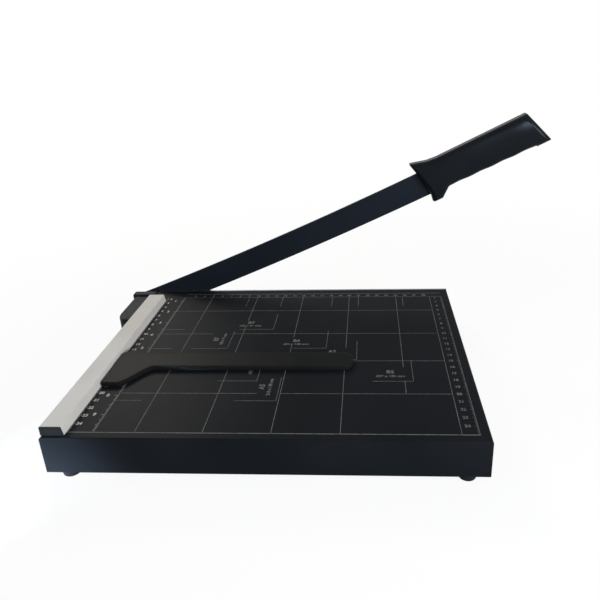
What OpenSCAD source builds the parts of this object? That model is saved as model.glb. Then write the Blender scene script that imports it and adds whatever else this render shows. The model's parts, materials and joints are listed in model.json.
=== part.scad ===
// Lever paper cutter: a folded steel board with a paper fence, a fixed lower blade on its far edge,
// a blade arm that swings on a spring-loaded pivot at the far left corner, and a sliding paper stop.
// Millimetres. +X runs along the blade towards the handle, +Y from the user towards the blade, +Z up.
// Working frame: X = 0 on the tray's left wall, Y = 0 on the cutting plane, Z = 0 on the desk.

/* [Base tray] */
// Width of the tray, along the blade
base_w = 324.5; // [280:0.1:380]
// Depth of the tray, from the user to the fixed blade
base_d = 259.1; // [235:0.1:310]
// Height of the tray's walls
base_h = 30.5; // [28:0.1:42]
// Thickness of the sheet steel
sheet_t = 1; // [0.8:0.1:1.2]
// Outside radius of the folds along the board's edges
bend_r = 1.6; // [1.3:0.1:2.2]
// Width of the lip folded inwards round the bottom
lip_w = 18; // [15:0.5:22]

/* [Stiffeners] */
// Width of a hat-section stiffener over its flanges
stiffener_w = 34; // [28:1:44]
// Depth of a stiffener below the board
stiffener_h = 8; // [6:0.5:10]
// Width of each welded flange
stiffener_flange = 8; // [5:0.5:10]
// Distance of a stiffener's middle from the nearer end of the board
stiffener_inset = 85; // [70:1:100]
// Free space between a stiffener's ends and the walls
stiffener_gap = 24; // [22:1:40]

/* [Feet] */
// Diameter of a foot
foot_d = 13.9; // [13:0.1:13.9]
// Height of a foot under the tray
foot_h = 4.6; // [3.2:0.1:6]
// Diameter of a foot's flat underside
foot_flat_d = 12.4; // [8:0.1:12.6]
// Distance of a foot's middle from the side wall
foot_side = 15.7; // [13:0.1:22]
// Distance of a foot's middle from the front or rear wall
foot_edge = 7; // [7:0.1:11]
// Diameter of a foot screw's thread
foot_screw_d = 2.5; // [2:0.1:3]

/* [Fence] */
// Width of the fence at its foot
fence_w = 17.5; // [15:0.1:24]
// Height of the fence above the board
fence_h = 7.2; // [6:0.1:10]
// Wall of the fence's channel
fence_wall = 1.5; // [1.2:0.1:1.8]
// Lean of the fence's paper face from foot to top
fence_lean = 1.4; // [0.4:0.1:2.2]
// Distance of the fence's rear end from the cutting plane
fence_gap = 27.4; // [22:0.1:44]
// Thickness of an end cap
cap_t = 0.8; // [0.6:0.1:2]
// Distance of the front cap from the board's front edge
fence_back = 3.1; // [1:0.1:8]
// Length of an end cap's plug inside the channel
cap_plug = 6; // [4:0.5:9]
// Diameter of a fence screw's thread
fence_screw_d = 3; // [2.5:0.1:3.5]
// Number of fence screws
fence_screws_n = 3; // [2:1:5]

/* [Fixed blade] */
// Thickness of the fixed blade
fixed_blade_t = 2.1; // [1.8:0.1:3]
// Height of the fixed blade
fixed_blade_h = 16; // [13:0.5:20]
// Thickness of the tapped bar behind the wall
backing_t = 6; // [4.5:0.5:9]
// Height of the tapped bar
backing_h = 14; // [10:0.5:18]
// Diameter of a blade screw's thread
blade_screw_d = 3; // [2.5:0.1:3.5]
// Number of blade screws
blade_screws_n = 5; // [3:1:8]

/* [Pivot] */
// Distance of the pivot outside the tray's left wall
pivot_out = 12.1; // [11:0.1:14.5]
// Distance of the pivot below the board
pivot_drop = 14.3; // [13:0.1:16]
// Diameter of the pivot bolt
bolt_d = 8; // [7:0.1:8.5]
// Across flats of the bolt's square neck
bolt_square = 9; // [8.7:0.1:10]
// Diameter of the bolt's round head
bolt_head_d = 18; // [16:0.1:22]
// Height of the bolt's head
bolt_head_h = 4; // [3.4:0.1:5]
// Height of the crown on the bolt's head
bolt_crown = 2.5; // [1.5:0.1:3]
// Wall of the bush
bush_wall = 1.5; // [1.2:0.1:1.8]
// Diameter of the bush's flange
bush_flange_d = 19; // [17:0.1:22]
// Thickness of the bush's flange
bush_flange_t = 1; // [0.8:0.1:1.5]
// Diameter of the spring's wire
spring_wire = 1.8; // [1.4:0.1:2]
// Length of the spring as fitted
spring_l = 19; // [17:0.5:24]
// Number of turns of the spring
spring_turns = 5; // [4:0.5:6]
// Thickness of the washers on the bolt
washer_t = 1.5; // [1:0.1:2]
// Outside diameter of the washers on the bolt
washer_d = 16; // [15:0.1:16.6]
// Across flats of the lock nut
nut_af = 13; // [12:0.1:13.8]
// Height of the lock nut
nut_h = 8; // [6.5:0.5:10]
// Thread standing out of the lock nut
bolt_proud = 3; // [2:0.5:6]

/* [Pivot housing] */
// Width of the housing's block beside the arm
block_w = 26.4; // [25:0.1:32]
// Depth of the block along the bolt
block_d = 10; // [9.4:0.1:13]
// Width of the housing's body along the wall
body_w = 23.2; // [23.2:0.1:25]
// Length of the body in front of the block
body_l = 62; // [56:0.1:80]
// Step of the body's top below the board
body_step = 2.1; // [1.5:0.1:3]
// Radius of the body's outer front corner in plan
body_corner_r = 20; // [8:0.5:22]
// Radius of the body's front end, seen from the side
body_nose_r = 9; // [5:0.5:14]
// Wall of the housing
housing_wall = 3; // [2.2:0.1:3.4]
// Rounding of the housing's top edges
housing_soft = 1.7; // [0.8:0.1:2]
// Space between the housing and the tray's bottom edge
housing_lift = 1.4; // [0.8:0.1:3]
// Diameter of a housing screw's thread
housing_screw_d = 4; // [3:0.1:4.4]

/* [Blade arm] */
// Width of the blade arm
arm_w = 26; // [23:0.1:29]
// Thickness of the blade arm
arm_t = 2.5; // [2:0.1:3.5]
// Angle of the raised arm at rest, in degrees
arm_angle = 23.3; // [5:0.1:60]
// Sag of the arm's curve between pivot and handle
arm_sag = 3.1; // [0.8:0.1:4.5]
// Height of the ground bevel
bevel_h = 4.5; // [2.5:0.1:7]
// Thickness left at the ground edge
edge_t = 0.3; // [0.2:0.1:0.6]
// Distance of the bevel's start from the pivot
bevel_start = 28; // [22:1:42]
// Distance by which the handle's front overlaps the board's right end
handle_lap = 3; // [0:0.1:3.6]
// Length of the blade's full width inside the handle
arm_bite = 10; // [6:0.5:13]
// Width of the tang
tang_w = 16; // [12:0.5:17]
// Length of the tang from the handle's front
tang_l = 98; // [86:1:106]
// Distance of the tang's middle above the arm's middle
tang_rise = 4.3; // [2.2:0.1:5.6]

/* [Handle] */
// Length of the handle from its front notch to its end
handle_l = 134.2; // [126:0.1:156]
// Thickness of the handle
handle_t = 20; // [17:0.1:24]
// Height of the grip's top above the arm's middle, at its front
grip_top = 20.3; // [18.6:0.1:23]
// Rise of the grip's top towards its end
grip_rise = 4; // [0:0.1:6]
// Depth of the grip's underside below the arm's middle
grip_under = 12.4; // [10:0.1:12.8]
// Rise of the grip's underside towards its end
grip_under_rise = 3; // [0:0.1:3.5]
// Length of the slanting end cut along the handle
end_slant = 13.9; // [4:0.1:21]
// Height of the front spur above the arm's middle
spur_top = 25.2; // [21.5:0.1:27]
// Depth of the finger guard below the arm's middle
guard_under = 22.3; // [17:0.1:26]
// Thickness of the finger guard along the handle
guard_l = 10.1; // [9:0.1:14]
// Slant of the handle's front face from arm top to arm bottom
front_slant = 5.5; // [3:0.5:7]
// Rounding of the handle's long edges
handle_soft = 2.2; // [1.5:0.1:2.4]
// Number of finger scallops under the grip
scallops_n = 4; // [2:1:6]
// Depth of a finger scallop
scallop_depth = 0.5; // [0.3:0.1:1.4]
// Diameter of a handle screw's thread
handle_screw_d = 3; // [2.5:0.1:3.5]
// Distance between the handle screws
handle_screw_pitch = 34; // [28:1:37]

/* [Paper stop] */
// Length of the stop from the fence to its tip
stop_l = 207.5; // [145:0.1:240]
// Width of the stop's bar
stop_w = 23.9; // [19:0.1:31]
// Thickness of the stop
stop_t = 4.3; // [3.6:0.1:6.5]
// Distance of the bar's far edge from the cutting plane
stop_y = 145.9; // [130:0.1:164]
// Length of the head along the fence
stop_head_l = 53.7; // [40:0.1:64]
// Distance of the head's far end beyond the bar
stop_head_far = 4.3; // [3:0.1:8]
// Width of the head's flat part beside the fence
stop_head_w = 12.9; // [9:0.1:17]
// Length of the curve from the head into the bar
stop_sweep = 24.3; // [19:0.1:36]
// Rounding of the stop's top edges
stop_soft = 0.9; // [0.4:0.1:1.3]
// Diameter of a magnet
magnet_d = 10; // [7:0.1:12]
// Thickness of a magnet
magnet_t = 2; // [1:0.1:2.5]
// Number of magnets
magnets_n = 3; // [2:1:5]

/* [Fits] */
// Gap between pieces that move past each other
move_gap = 0.3; // [0.2:0.05:0.5]
// Radial clearance of the bolt in its bush
bolt_clear = 0.05; // [0.02:0.01:0.09]
// Radial clearance of a screw in a plain hole
hole_clear = 0.3; // [0.2:0.05:0.5]
// Radial clearance of a screw in its thread, and of a plug in its seat
seat_clear = 0.05; // [0.02:0.01:0.1]

/* [Hidden] */
$fn = 64;

// Colours, as the object shows them
coat_black = "#15181d";
plastic_black = "#1b1d20";
cast_black = "#2a2c31";
fence_grey = "#bdbab2";
steel = "#b9bcc0";
zinc = "#a9adb2";
bronze = "#a9814a";
rubber_black = "#101113";

// Overshoot of a cutting shape past the face it cuts
cut = 1;
// Steps in a rounded edge, and in a rounded corner
soft_steps = 4;
corner_steps = 8;
// Points along each long edge of the blade arm
arm_steps = 16;

// Levels
z_tray = foot_h;
z_board = foot_h + base_h;
y_rear = -fixed_blade_t;
y_front = y_rear - base_d;

// Screw proportions, from the thread diameter
function head_d(d) = 2 * d;
function head_h(d) = 0.65 * d;
function nut_width(d) = 1.8 * d;
function nut_height(d) = 0.8 * d;
function drive_w(d) = 0.25 * d;
function drive_span(d) = 1.2 * d;
function drive_depth(d) = 0.3 * d;
function boss_d(d) = 2.4 * d;

// Screw places
fence_screw_x = fence_w / 2;
fence_edge_r = 0.6;
fence_screw_room = 1.2;
fence_screw_grip = fence_h - fence_wall - fence_screw_room;
fence_screw_tip = 0.4;
fence_front = y_front + fence_back + cap_t;
fence_rear = -fence_gap;
fence_screw_edge = 24;
fence_screw_pitch = (fence_rear - fence_front - 2 * fence_screw_edge) / (fence_screws_n - 1);
fence_screw_ys = [for (i = [0 : fence_screws_n - 1]) fence_rear - fence_screw_edge - i * fence_screw_pitch];
blade_screw_edge = 22;
blade_screw_z = z_board - fixed_blade_h / 2;
blade_screw_pitch = (base_w - 2 * blade_screw_edge) / (blade_screws_n - 1);
blade_screw_xs = [for (i = [0 : blade_screws_n - 1]) blade_screw_edge + i * blade_screw_pitch];
blade_screw_sink = 0.2;
backing_end = 14;
backing_room = 0.4;
backing_z = z_board - bend_r - backing_room - backing_h;

// Feet
foot_xs = [foot_side, base_w - foot_side];
foot_ys = [y_front + foot_edge, y_rear - foot_edge];
foot_recess = 1.8;
foot_head_rise = 0.3;
foot_bead = 0.7;
foot_screw_seat = foot_recess + foot_head_rise;
foot_screw_proud = 0.8;

// Pivot and housing
pivot_x = -pivot_out;
pivot_z = z_board - pivot_drop;
block_far = -bush_flange_t;
block_near = block_far - block_d;
body_near = block_near - body_l;
housing_bottom = z_tray + housing_lift;
bush_d = bolt_d + 2 * bolt_clear + 2 * bush_wall;
block_corner_r = 2.1;
housing_screw_bite = 6.5;
housing_screw_tip = 0.8;
housing_screw_room = 0.5;
housing_screw_y = y_rear - sheet_t - head_d(housing_screw_d) / 2 - housing_screw_room;
housing_screw_off = bush_d / 2 + housing_screw_d / 2 + housing_screw_room;
housing_boss_y = body_near + housing_wall + body_corner_r / 2;
housing_screw_places = [
  [housing_screw_y, pivot_z - housing_screw_off - housing_screw_d / 2],
  [housing_screw_y, pivot_z + housing_screw_off],
  [housing_boss_y, pivot_z]
];

// Stack on the bolt, from the block towards the user
thrust_face = block_near - washer_t;
spring_far = thrust_face - move_gap;
spring_near = spring_far - spring_l;
nut_far = spring_near - washer_t;
bolt_end = nut_far - nut_h - bolt_proud;
spring_room = 0.8;
spring_r = bolt_d / 2 + spring_wire / 2 + spring_room;
washer_bore = bolt_d + 2 * hole_clear;

// Blade arm, in its own plane: u along the chord from the pivot, w square to it; arm_dip is how far
// its curve lies under the chord at the handle's front, arm_kick how far its lower corner leans out
arm_near = move_gap;
arm_far = arm_near + arm_t;
arm_mid = arm_near + arm_t / 2;
arm_len = pivot_out + base_w - handle_lap;
arm_chord = arm_len + arm_bite;
arm_r = (arm_chord * arm_chord / 4 + arm_sag * arm_sag) / (2 * arm_sag);
arm_half = asin(arm_chord / 2 / arm_r);
arm_centre = [arm_chord / 2, arm_r - arm_sag];
arm_dip = sqrt(pow(arm_r, 2) - pow(arm_len - arm_centre.x, 2)) - arm_centre.y;
arm_kick = arm_w / 2 * sin(arm_half);
tang_end = arm_len + tang_l;
tang_corner = 3.5;

// Handle, u counted from the handle's front notch
handle_half = handle_t / 2;
spur_reach = 3.6;
spur_root = 14.3;
spur_dip = 0.6;
grip_front = 24.3;
grip_under_front = 25.7;
grip_end = 15.7;
grip_under_end = handle_l - grip_end;
guard_lean = -1.1;
guard_rise = 0.5;
guard_toe_r = 2.5;
guard_heel_r = 2.6;
guard_root_r = 2.9;
heel_step = 1.2;
heel_run = 0.9;
heel_rise = 0.9;
handle_screw_first = 24;
handle_screw_us = [for (i = [0 : 2]) arm_len + handle_screw_first + i * handle_screw_pitch];
handle_screw_w = tang_rise;
handle_head_sink = 3;
handle_screw_tip = 3.5;
handle_screw_room = 0.7;

// Paper stop
stop_left = fence_w + move_gap;
stop_bottom = z_board + move_gap;
stop_far = -stop_y;
stop_near = stop_far - stop_w;
stop_head_top = stop_far + stop_head_far;
stop_head_bottom = stop_head_top - stop_head_l;
stop_tip = fence_w + stop_l;
stop_corner_r = 1.4;
stop_tip_r = 9;
stop_head_chamfer = 6.4;
magnet_edge = 28;
magnet_sink = 0.2;
magnet_xs = [
  for (i = [0 : magnets_n - 1]) stop_left + magnet_edge + i * (stop_l - 2 * magnet_edge) / (magnets_n - 1)
];

// Origin of the part: middle of its box, on the desk
handle_end = [arm_len + handle_l, grip_under_rise - grip_under - heel_step + heel_rise];
x_low = -block_w;
x_high = pivot_x + handle_end.x * cos(arm_angle) - handle_end.y * sin(arm_angle);
y_high = arm_mid + handle_half;
origin = [(x_low + x_high) / 2, (y_front + y_high) / 2, 0];

// Points along an arc about c, from angle a0 to a1
function arc(c, r, a0, a1, n) = [
  for (i = [0 : n])
    let (a = a0 + (a1 - a0) * i / n) c + r * [cos(a), sin(a)]
];

function unit(v) = v / norm(v);
function left_of(v) = [-v.y, v.x];

// Corner b between a and c, rounded to radius r; kept sharp where r is 0
function corner(a, b, c, r) =
  r == 0 ? [b] :
  let (
    va = unit(a - b),
    vc = unit(c - b),
    half = acos(va * vc) / 2,
    middle = b + unit(va + vc) * r / sin(half),
    start = b + va * r / tan(half) - middle,
    stop = b + vc * r / tan(half) - middle,
    a0 = atan2(start.y, start.x),
    turn = atan2(start.x * stop.y - start.y * stop.x, start * stop)
  )
  arc(middle, r, a0, a0 + turn, corner_steps);

// Outline with each corner rounded; points are [x, y, r]
function rounded(pts) =
  let (n = len(pts), flat = [for (p = pts) [p.x, p.y]])
  [for (i = [0 : n - 1]) each corner(flat[(i + n - 1) % n], flat[i], flat[(i + 1) % n], pts[i].z)];

// Outline drawn in by d on every side; the outline runs anticlockwise
function drawn_in(pts, d) =
  let (n = len(pts))
  [
    for (i = [0 : n - 1])
      let (
        n1 = left_of(unit(pts[i] - pts[(i + n - 1) % n])),
        n2 = left_of(unit(pts[(i + 1) % n] - pts[i]))
      )
      pts[i] + d * (n1 + n2) / (1 + n1 * n2)
  ];

// Twice the area of the triangle a, b, c; positive where it turns left
function turn_area(a, b, c) = (b.x - a.x) * (c.y - a.y) - (b.y - a.y) * (c.x - a.x);

function inside(p, a, b, c) = turn_area(a, b, p) > 0 && turn_area(b, c, p) > 0 && turn_area(c, a, p) > 0;

// Three neighbouring points of a run, its point i in the middle
function neighbours(run, i) = let (n = len(run)) [run[(i + n - 1) % n], run[i], run[(i + 1) % n]];

// True where the corner at place i of the run can be cut off as one triangle
function is_ear(pts, run, i) =
  let (t = neighbours(run, i), a = pts[t[0]], b = pts[t[1]], c = pts[t[2]])
  turn_area(a, b, c) > 0 && len([for (k = run) if (inside(pts[k], a, b, c)) k]) == 0;

function first_ear(pts, run, i = 0) = is_ear(pts, run, i) ? i : first_ear(pts, run, i + 1);

// Triangles that fill an anticlockwise outline, cut off one corner at a time
function filled(pts, run) =
  len(run) == 3 ? [run] :
  let (i = first_ear(pts, run), rest = [for (k = [0 : len(run) - 1]) if (k != i) run[k]])
  concat([neighbours(run, i)], filled(pts, rest));

// Triangles that fill a round ring of n points
function fan(n) = [for (i = [1 : n - 2]) [0, i, i + 1]];

// Solid joining equal rings of points; floor and roof are the triangles that close its ends
module loft(rings, floor, roof) {
  n = len(rings[0]);
  top = n * (len(rings) - 1);
  sides = [
    for (k = [0 : len(rings) - 2], i = [0 : n - 1])
      let (a = k * n + i, b = k * n + (i + 1) % n)
      each [[a, a + n, b], [b, a + n, b + n]]
  ];
  roof_faces = [for (t = roof) [top + t[2], top + t[1], top + t[0]]];
  polyhedron([for (ring = rings) each ring], concat(floor, sides, roof_faces));
}

// Slab of height h on an anticlockwise outline, with its top edges rounded to r
module soft_slab(pts, h, r) {
  run = [for (i = [0 : len(pts) - 1]) i];
  ring_turns = [for (k = [0 : soft_steps]) 90 * k / soft_steps];
  rings = concat(
    [[for (p = pts) [p.x, p.y, 0]]],
    [
      for (t = ring_turns)
        [for (p = drawn_in(pts, r * (1 - cos(t)))) [p.x, p.y, h - r + r * sin(t)]]
    ]
  );
  loft(rings, filled(pts, run), filled(drawn_in(pts, r), run));
}

// Moves a shape from the working frame to the part's own frame
module place() translate(-origin) children();

// Turns a shape drawn on the arm's plane to the raised arm; its height runs from the far face to the board
module on_arm()
  place()
    translate([pivot_x, arm_far, pivot_z])
      rotate([0, -arm_angle, 0])
        rotate([90, 0, 0])
          children();

// Turns a shape drawn along +Z to lie along the bolt, pointing at the user, from the plane y
module along_bolt(y)
  translate([pivot_x, y, pivot_z])
    rotate([90, 0, 0])
      children();

// Section with rounded top corners, standing on the X axis
module folded_section(w, h, r) {
  square([w, h - r]);
  translate([r, 0]) square([w - 2 * r, h]);
  for (x = [r, w - r]) translate([x, h - r]) circle(r);
}

// Box from its lowest corner, with its top edges folded to radius r
module folded_box(low, size, r)
  translate(low)
    intersection() {
      translate([0, size.y, 0]) rotate([90, 0, 0]) linear_extrude(size.y) folded_section(size.x, size.z, r);
      rotate([90, 0, 90]) linear_extrude(size.x) folded_section(size.y, size.z, r);
    }

// Cross recess of a screw, cut upwards from its head's face at z = 0
module drive_cross(d)
  for (a = [0, 90])
    rotate(a)
      translate([-drive_span(d) / 2, -drive_w(d) / 2, -cut])
        cube([drive_span(d), drive_w(d), drive_depth(d) + cut]);

// Pan-head screw along +Z: the head's seat is at z = 0 and the thread points up
module pan_screw(d, l) {
  translate([0, 0, -head_h(d)])
    difference() {
      cylinder(d = head_d(d), h = head_h(d));
      drive_cross(d);
    }
  cylinder(d = d, h = l);
}

// Countersunk screw along +Z: the head's face is at z = 0 and the thread points up
module flat_screw(d, l)
  difference() {
    union() {
      cylinder(d1 = head_d(d), d2 = d, h = d / 2);
      cylinder(d = d, h = l);
    }
    drive_cross(d);
  }

// Base

module base_tray()
  color(coat_black)
    place()
      difference() {
        folded_box([0, y_front, z_tray], [base_w, base_d, base_h], bend_r);
        folded_box(
          [sheet_t, y_front + sheet_t, z_tray + sheet_t],
          [base_w - 2 * sheet_t, base_d - 2 * sheet_t, base_h - 2 * sheet_t],
          bend_r - sheet_t
        );
        translate([lip_w, y_front + lip_w, z_tray - cut])
          cube([base_w - 2 * lip_w, base_d - 2 * lip_w, sheet_t + 2 * cut]);
        for (x = foot_xs, y = foot_ys)
          translate([x, y, z_tray - cut]) cylinder(d = foot_screw_d + 2 * hole_clear, h = sheet_t + 2 * cut);
        for (y = fence_screw_ys)
          translate([fence_screw_x, y, z_board - sheet_t - cut])
            cylinder(d = fence_screw_d + 2 * hole_clear, h = sheet_t + 2 * cut);
        for (x = blade_screw_xs)
          translate([x, y_rear + cut, blade_screw_z])
            rotate([90, 0, 0]) cylinder(d = blade_screw_d + 2 * hole_clear, h = sheet_t + 2 * cut);
        for (p = housing_screw_places)
          translate([-cut, p[0], p[1]])
            rotate([0, 90, 0]) cylinder(d = housing_screw_d + 2 * hole_clear, h = sheet_t + 2 * cut);
      }

// Hat-section stiffener welded under the board, its middle at y
module stiffener(y) {
  inner = stiffener_w / 2 - stiffener_flange;
  half = stiffener_w / 2;
  left = [
    [-half, 0],
    [-half, -sheet_t],
    [-inner - sheet_t, -sheet_t],
    [-inner - sheet_t, -stiffener_h]
  ];
  right = [
    [inner + sheet_t, -stiffener_h],
    [inner + sheet_t, -sheet_t],
    [half, -sheet_t],
    [half, 0],
    [inner, 0],
    [inner, sheet_t - stiffener_h],
    [-inner, sheet_t - stiffener_h],
    [-inner, 0]
  ];
  translate([stiffener_gap, y, z_board - sheet_t])
    rotate([90, 0, 90])
      linear_extrude(base_w - 2 * stiffener_gap) polygon(concat(left, right));
}

module stiffener_front() color(coat_black) place() stiffener(y_front + stiffener_inset);

module stiffener_rear() color(coat_black) place() stiffener(y_rear - stiffener_inset);

module blade_backing_bar()
  color(zinc)
    place()
      difference() {
        translate([backing_end, y_rear - sheet_t - backing_t, backing_z])
          cube([base_w - 2 * backing_end, backing_t, backing_h]);
        for (x = blade_screw_xs)
          translate([x, y_rear, blade_screw_z])
            rotate([90, 0, 0])
              cylinder(d = blade_screw_d + 2 * seat_clear, h = sheet_t + backing_t + cut);
      }

module fixed_blade()
  color(steel)
    place()
      difference() {
        translate([0, y_rear, z_board - fixed_blade_h]) cube([base_w, fixed_blade_t, fixed_blade_h]);
        for (x = blade_screw_xs)
          translate([x, 0, blade_screw_z])
            rotate([90, 0, 0]) {
              translate([0, 0, -cut])
                cylinder(d = blade_screw_d + 2 * hole_clear, h = fixed_blade_t + 2 * cut);
              translate([0, 0, blade_screw_sink])
                cylinder(
                  d1 = head_d(blade_screw_d) + 2 * seat_clear,
                  d2 = blade_screw_d + 2 * seat_clear,
                  h = blade_screw_d / 2
                );
              translate([0, 0, -cut])
                cylinder(d = head_d(blade_screw_d) + 2 * seat_clear, h = cut + blade_screw_sink);
            }
      }

module fixed_blade_screws()
  color(zinc)
    place()
      for (x = blade_screw_xs)
        translate([x, -blade_screw_sink, blade_screw_z])
          rotate([90, 0, 0])
            flat_screw(blade_screw_d, fixed_blade_t + sheet_t + backing_t - blade_screw_sink);

// Fence

// Outer section of the fence, standing on the board
function fence_outline() = [
  [0, 0, 0],
  [fence_w, 0, 0],
  [fence_w - fence_lean, fence_h, fence_edge_r],
  [0, fence_h, fence_edge_r]
];

// Hollow of the fence, drawn in by the wall and a clearance
module fence_hollow(clear)
  polygon(drawn_in([for (p = fence_outline()) [p.x, p.y]], fence_wall + clear));

// Draws a fence section from the plane y towards the user
module along_fence(y, l)
  translate([0, y, z_board])
    rotate([90, 0, 0])
      linear_extrude(l)
        children();

// Width of the fence's screw rib
fence_rib_w = boss_d(fence_screw_d);

module fence()
  color(fence_grey)
    place()
      difference() {
        along_fence(fence_rear, fence_rear - fence_front)
          difference() {
            polygon(rounded(fence_outline()));
            difference() {
              union() {
                fence_hollow(0);
                translate([fence_wall, -cut]) square([fence_w - 2 * fence_wall, fence_wall + 2 * cut]);
              }
              translate([fence_screw_x - fence_rib_w / 2, 0]) square([fence_rib_w, fence_h]);
            }
          }
        for (y = fence_screw_ys)
          translate([fence_screw_x, y, z_board - cut])
            cylinder(d = fence_screw_d + 2 * seat_clear, h = cut + fence_screw_grip);
        for (y = [fence_rear + cut, fence_front + cap_plug])
          translate([fence_screw_x - fence_rib_w / 2 - cut, y - cap_plug - cut, z_board - cut])
            cube([fence_rib_w + 2 * cut, cap_plug + cut, cut + fence_h - fence_wall]);
      }

// End cap at the plane y; its plug points along +Y when way is 1 and along -Y when it is -1
module fence_cap(y, way) {
  plate_far = way > 0 ? y : y + cap_t;
  plug_far = way > 0 ? y + cap_plug : y;
  along_fence(plate_far, cap_t) polygon(rounded(fence_outline()));
  along_fence(plug_far, cap_plug) fence_hollow(seat_clear);
}

module fence_cap_front() color(plastic_black) place() fence_cap(fence_front, 1);

module fence_cap_rear() color(plastic_black) place() fence_cap(fence_rear, -1);

module fence_screws()
  color(zinc)
    place()
      for (y = fence_screw_ys)
        translate([fence_screw_x, y, z_board - sheet_t])
          pan_screw(fence_screw_d, sheet_t + fence_screw_grip - fence_screw_tip);

// Feet

// Rubber foot with a domed side, a flat underside and a screw recess
module foot(x, y) {
  side_drop = foot_h - foot_bead;
  side_in = (foot_d - foot_flat_d) / 2;
  dome = [for (t = [0 : 15 : 90]) [foot_flat_d / 2 + side_in * sin(t), side_drop * (1 - cos(t))]];
  recess_r = head_d(foot_screw_d) / 2 + hole_clear;
  hole_r = foot_screw_d / 2 + seat_clear;
  section = concat(
    [[recess_r, 0]],
    dome,
    [[foot_d / 2, foot_h], [hole_r, foot_h], [hole_r, foot_screw_seat], [recess_r, foot_screw_seat]]
  );
  translate([x, y, 0]) rotate_extrude() polygon(section);
}

module foot_front_left() color(rubber_black) place() foot(foot_xs[0], foot_ys[0]);

module foot_front_right() color(rubber_black) place() foot(foot_xs[1], foot_ys[0]);

module foot_rear_left() color(rubber_black) place() foot(foot_xs[0], foot_ys[1]);

module foot_rear_right() color(rubber_black) place() foot(foot_xs[1], foot_ys[1]);

module foot_screws() {
  grip = z_tray + sheet_t + nut_height(foot_screw_d) - foot_screw_seat;
  color(zinc)
    place()
      for (x = foot_xs, y = foot_ys)
        translate([x, y, foot_screw_seat]) pan_screw(foot_screw_d, grip + foot_screw_proud);
}

module foot_nuts()
  color(zinc)
    place()
      for (x = foot_xs, y = foot_ys)
        translate([x, y, z_tray + sheet_t])
          difference() {
            cylinder(d = nut_width(foot_screw_d) / cos(30), h = nut_height(foot_screw_d), $fn = 6);
            translate([0, 0, -cut])
              cylinder(d = foot_screw_d + 2 * seat_clear, h = nut_height(foot_screw_d) + 2 * cut);
          }

// Pivot

// Plan of the housing's block beside the arm
function block_plan() = rounded([
  [-block_w, block_near, block_corner_r],
  [0, block_near, 0],
  [0, block_far, 0],
  [-block_w, block_far, block_corner_r]
]);

// Plan of the housing's body along the wall, running into the block
function body_plan() = rounded([
  [-body_w, body_near, body_corner_r],
  [0, body_near, 0],
  [0, block_near + housing_soft, 0],
  [-body_w, block_near + housing_soft, 0]
]);

// Side view of the housing's body, its end towards the user rounded, drawn in by d and filling the width
module body_nose(h, d) {
  r = body_nose_r - d;
  near = body_near + d;
  rotate([90, 0, 90])
    translate([0, 0, -body_w - cut])
      linear_extrude(body_w + 2 * cut)
        polygon(concat(
          [[near, -2 * cut], [block_near + block_d, -2 * cut], [block_near + block_d, h - d]],
          arc([near + r, h - d - r], r, 90, 180, corner_steps)
        ));
}

module pivot_housing() {
  block_h = z_board - housing_bottom;
  body_h = block_h - body_step;
  screw_room = housing_screw_bite + housing_screw_tip;
  hollow = drawn_in(
    rounded([
      [-body_w, body_near, body_corner_r],
      [0, body_near, 0],
      [0, block_near + housing_wall, 0],
      [-body_w, block_near + housing_wall, 0]
    ]),
    housing_wall
  );
  color(cast_black)
    place()
      difference() {
        translate([0, 0, housing_bottom]) {
          soft_slab(block_plan(), block_h, housing_soft);
          intersection() {
            soft_slab(body_plan(), body_h, housing_soft);
            body_nose(body_h, 0);
          }
        }
        difference() {
          intersection() {
            translate([0, 0, housing_bottom - cut]) linear_extrude(body_h - housing_wall + cut) polygon(hollow);
            translate([0, 0, housing_bottom]) body_nose(body_h, housing_wall);
          }
          translate([-housing_screw_bite - housing_wall, housing_boss_y, pivot_z])
            rotate([0, 90, 0]) cylinder(d = boss_d(housing_screw_d), h = housing_screw_bite + housing_wall);
        }
        along_bolt(block_far + cut) cylinder(d = bush_d, h = block_d + 2 * cut);
        for (p = housing_screw_places)
          translate([-screw_room, p[0], p[1]])
            rotate([0, 90, 0]) cylinder(d = housing_screw_d + 2 * seat_clear, h = screw_room + cut);
      }
}

module housing_screws()
  color(zinc)
    place()
      for (p = housing_screw_places)
        translate([sheet_t, p[0], p[1]])
          rotate([0, -90, 0]) pan_screw(housing_screw_d, sheet_t + housing_screw_bite);

module pivot_bush()
  color(bronze)
    place()
      difference() {
        union() {
          along_bolt(block_far) cylinder(d = bush_d, h = block_d);
          along_bolt(block_far + bush_flange_t) cylinder(d = bush_flange_d, h = bush_flange_t);
        }
        along_bolt(block_far + bush_flange_t + cut)
          cylinder(d = bolt_d + 2 * bolt_clear, h = block_d + bush_flange_t + 2 * cut);
      }

// Flat washer on the bolt, from the plane y towards the user
module bolt_washer(y)
  along_bolt(y)
    difference() {
      cylinder(d = washer_d, h = washer_t);
      translate([0, 0, -cut]) cylinder(d = washer_bore, h = washer_t + 2 * cut);
    }

module thrust_washer() color(zinc) place() bolt_washer(block_near);

module nut_washer() color(zinc) place() bolt_washer(spring_near);

module pivot_bolt() {
  crown_r = (bolt_head_d * bolt_head_d / 4 + bolt_crown * bolt_crown) / (2 * bolt_crown);
  crown_half = asin(bolt_head_d / 2 / crown_r);
  crown = arc([0, crown_r - bolt_head_h], crown_r, 270, 270 + crown_half, corner_steps);
  color(zinc)
    on_arm() {
      rotate_extrude() polygon(concat(crown, [[bolt_head_d / 2, 0], [0, 0]]));
      translate([-bolt_square / 2, -bolt_square / 2, 0]) cube([bolt_square, bolt_square, arm_t]);
      cylinder(d = bolt_d, h = arm_far - bolt_end);
    }
}

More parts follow.
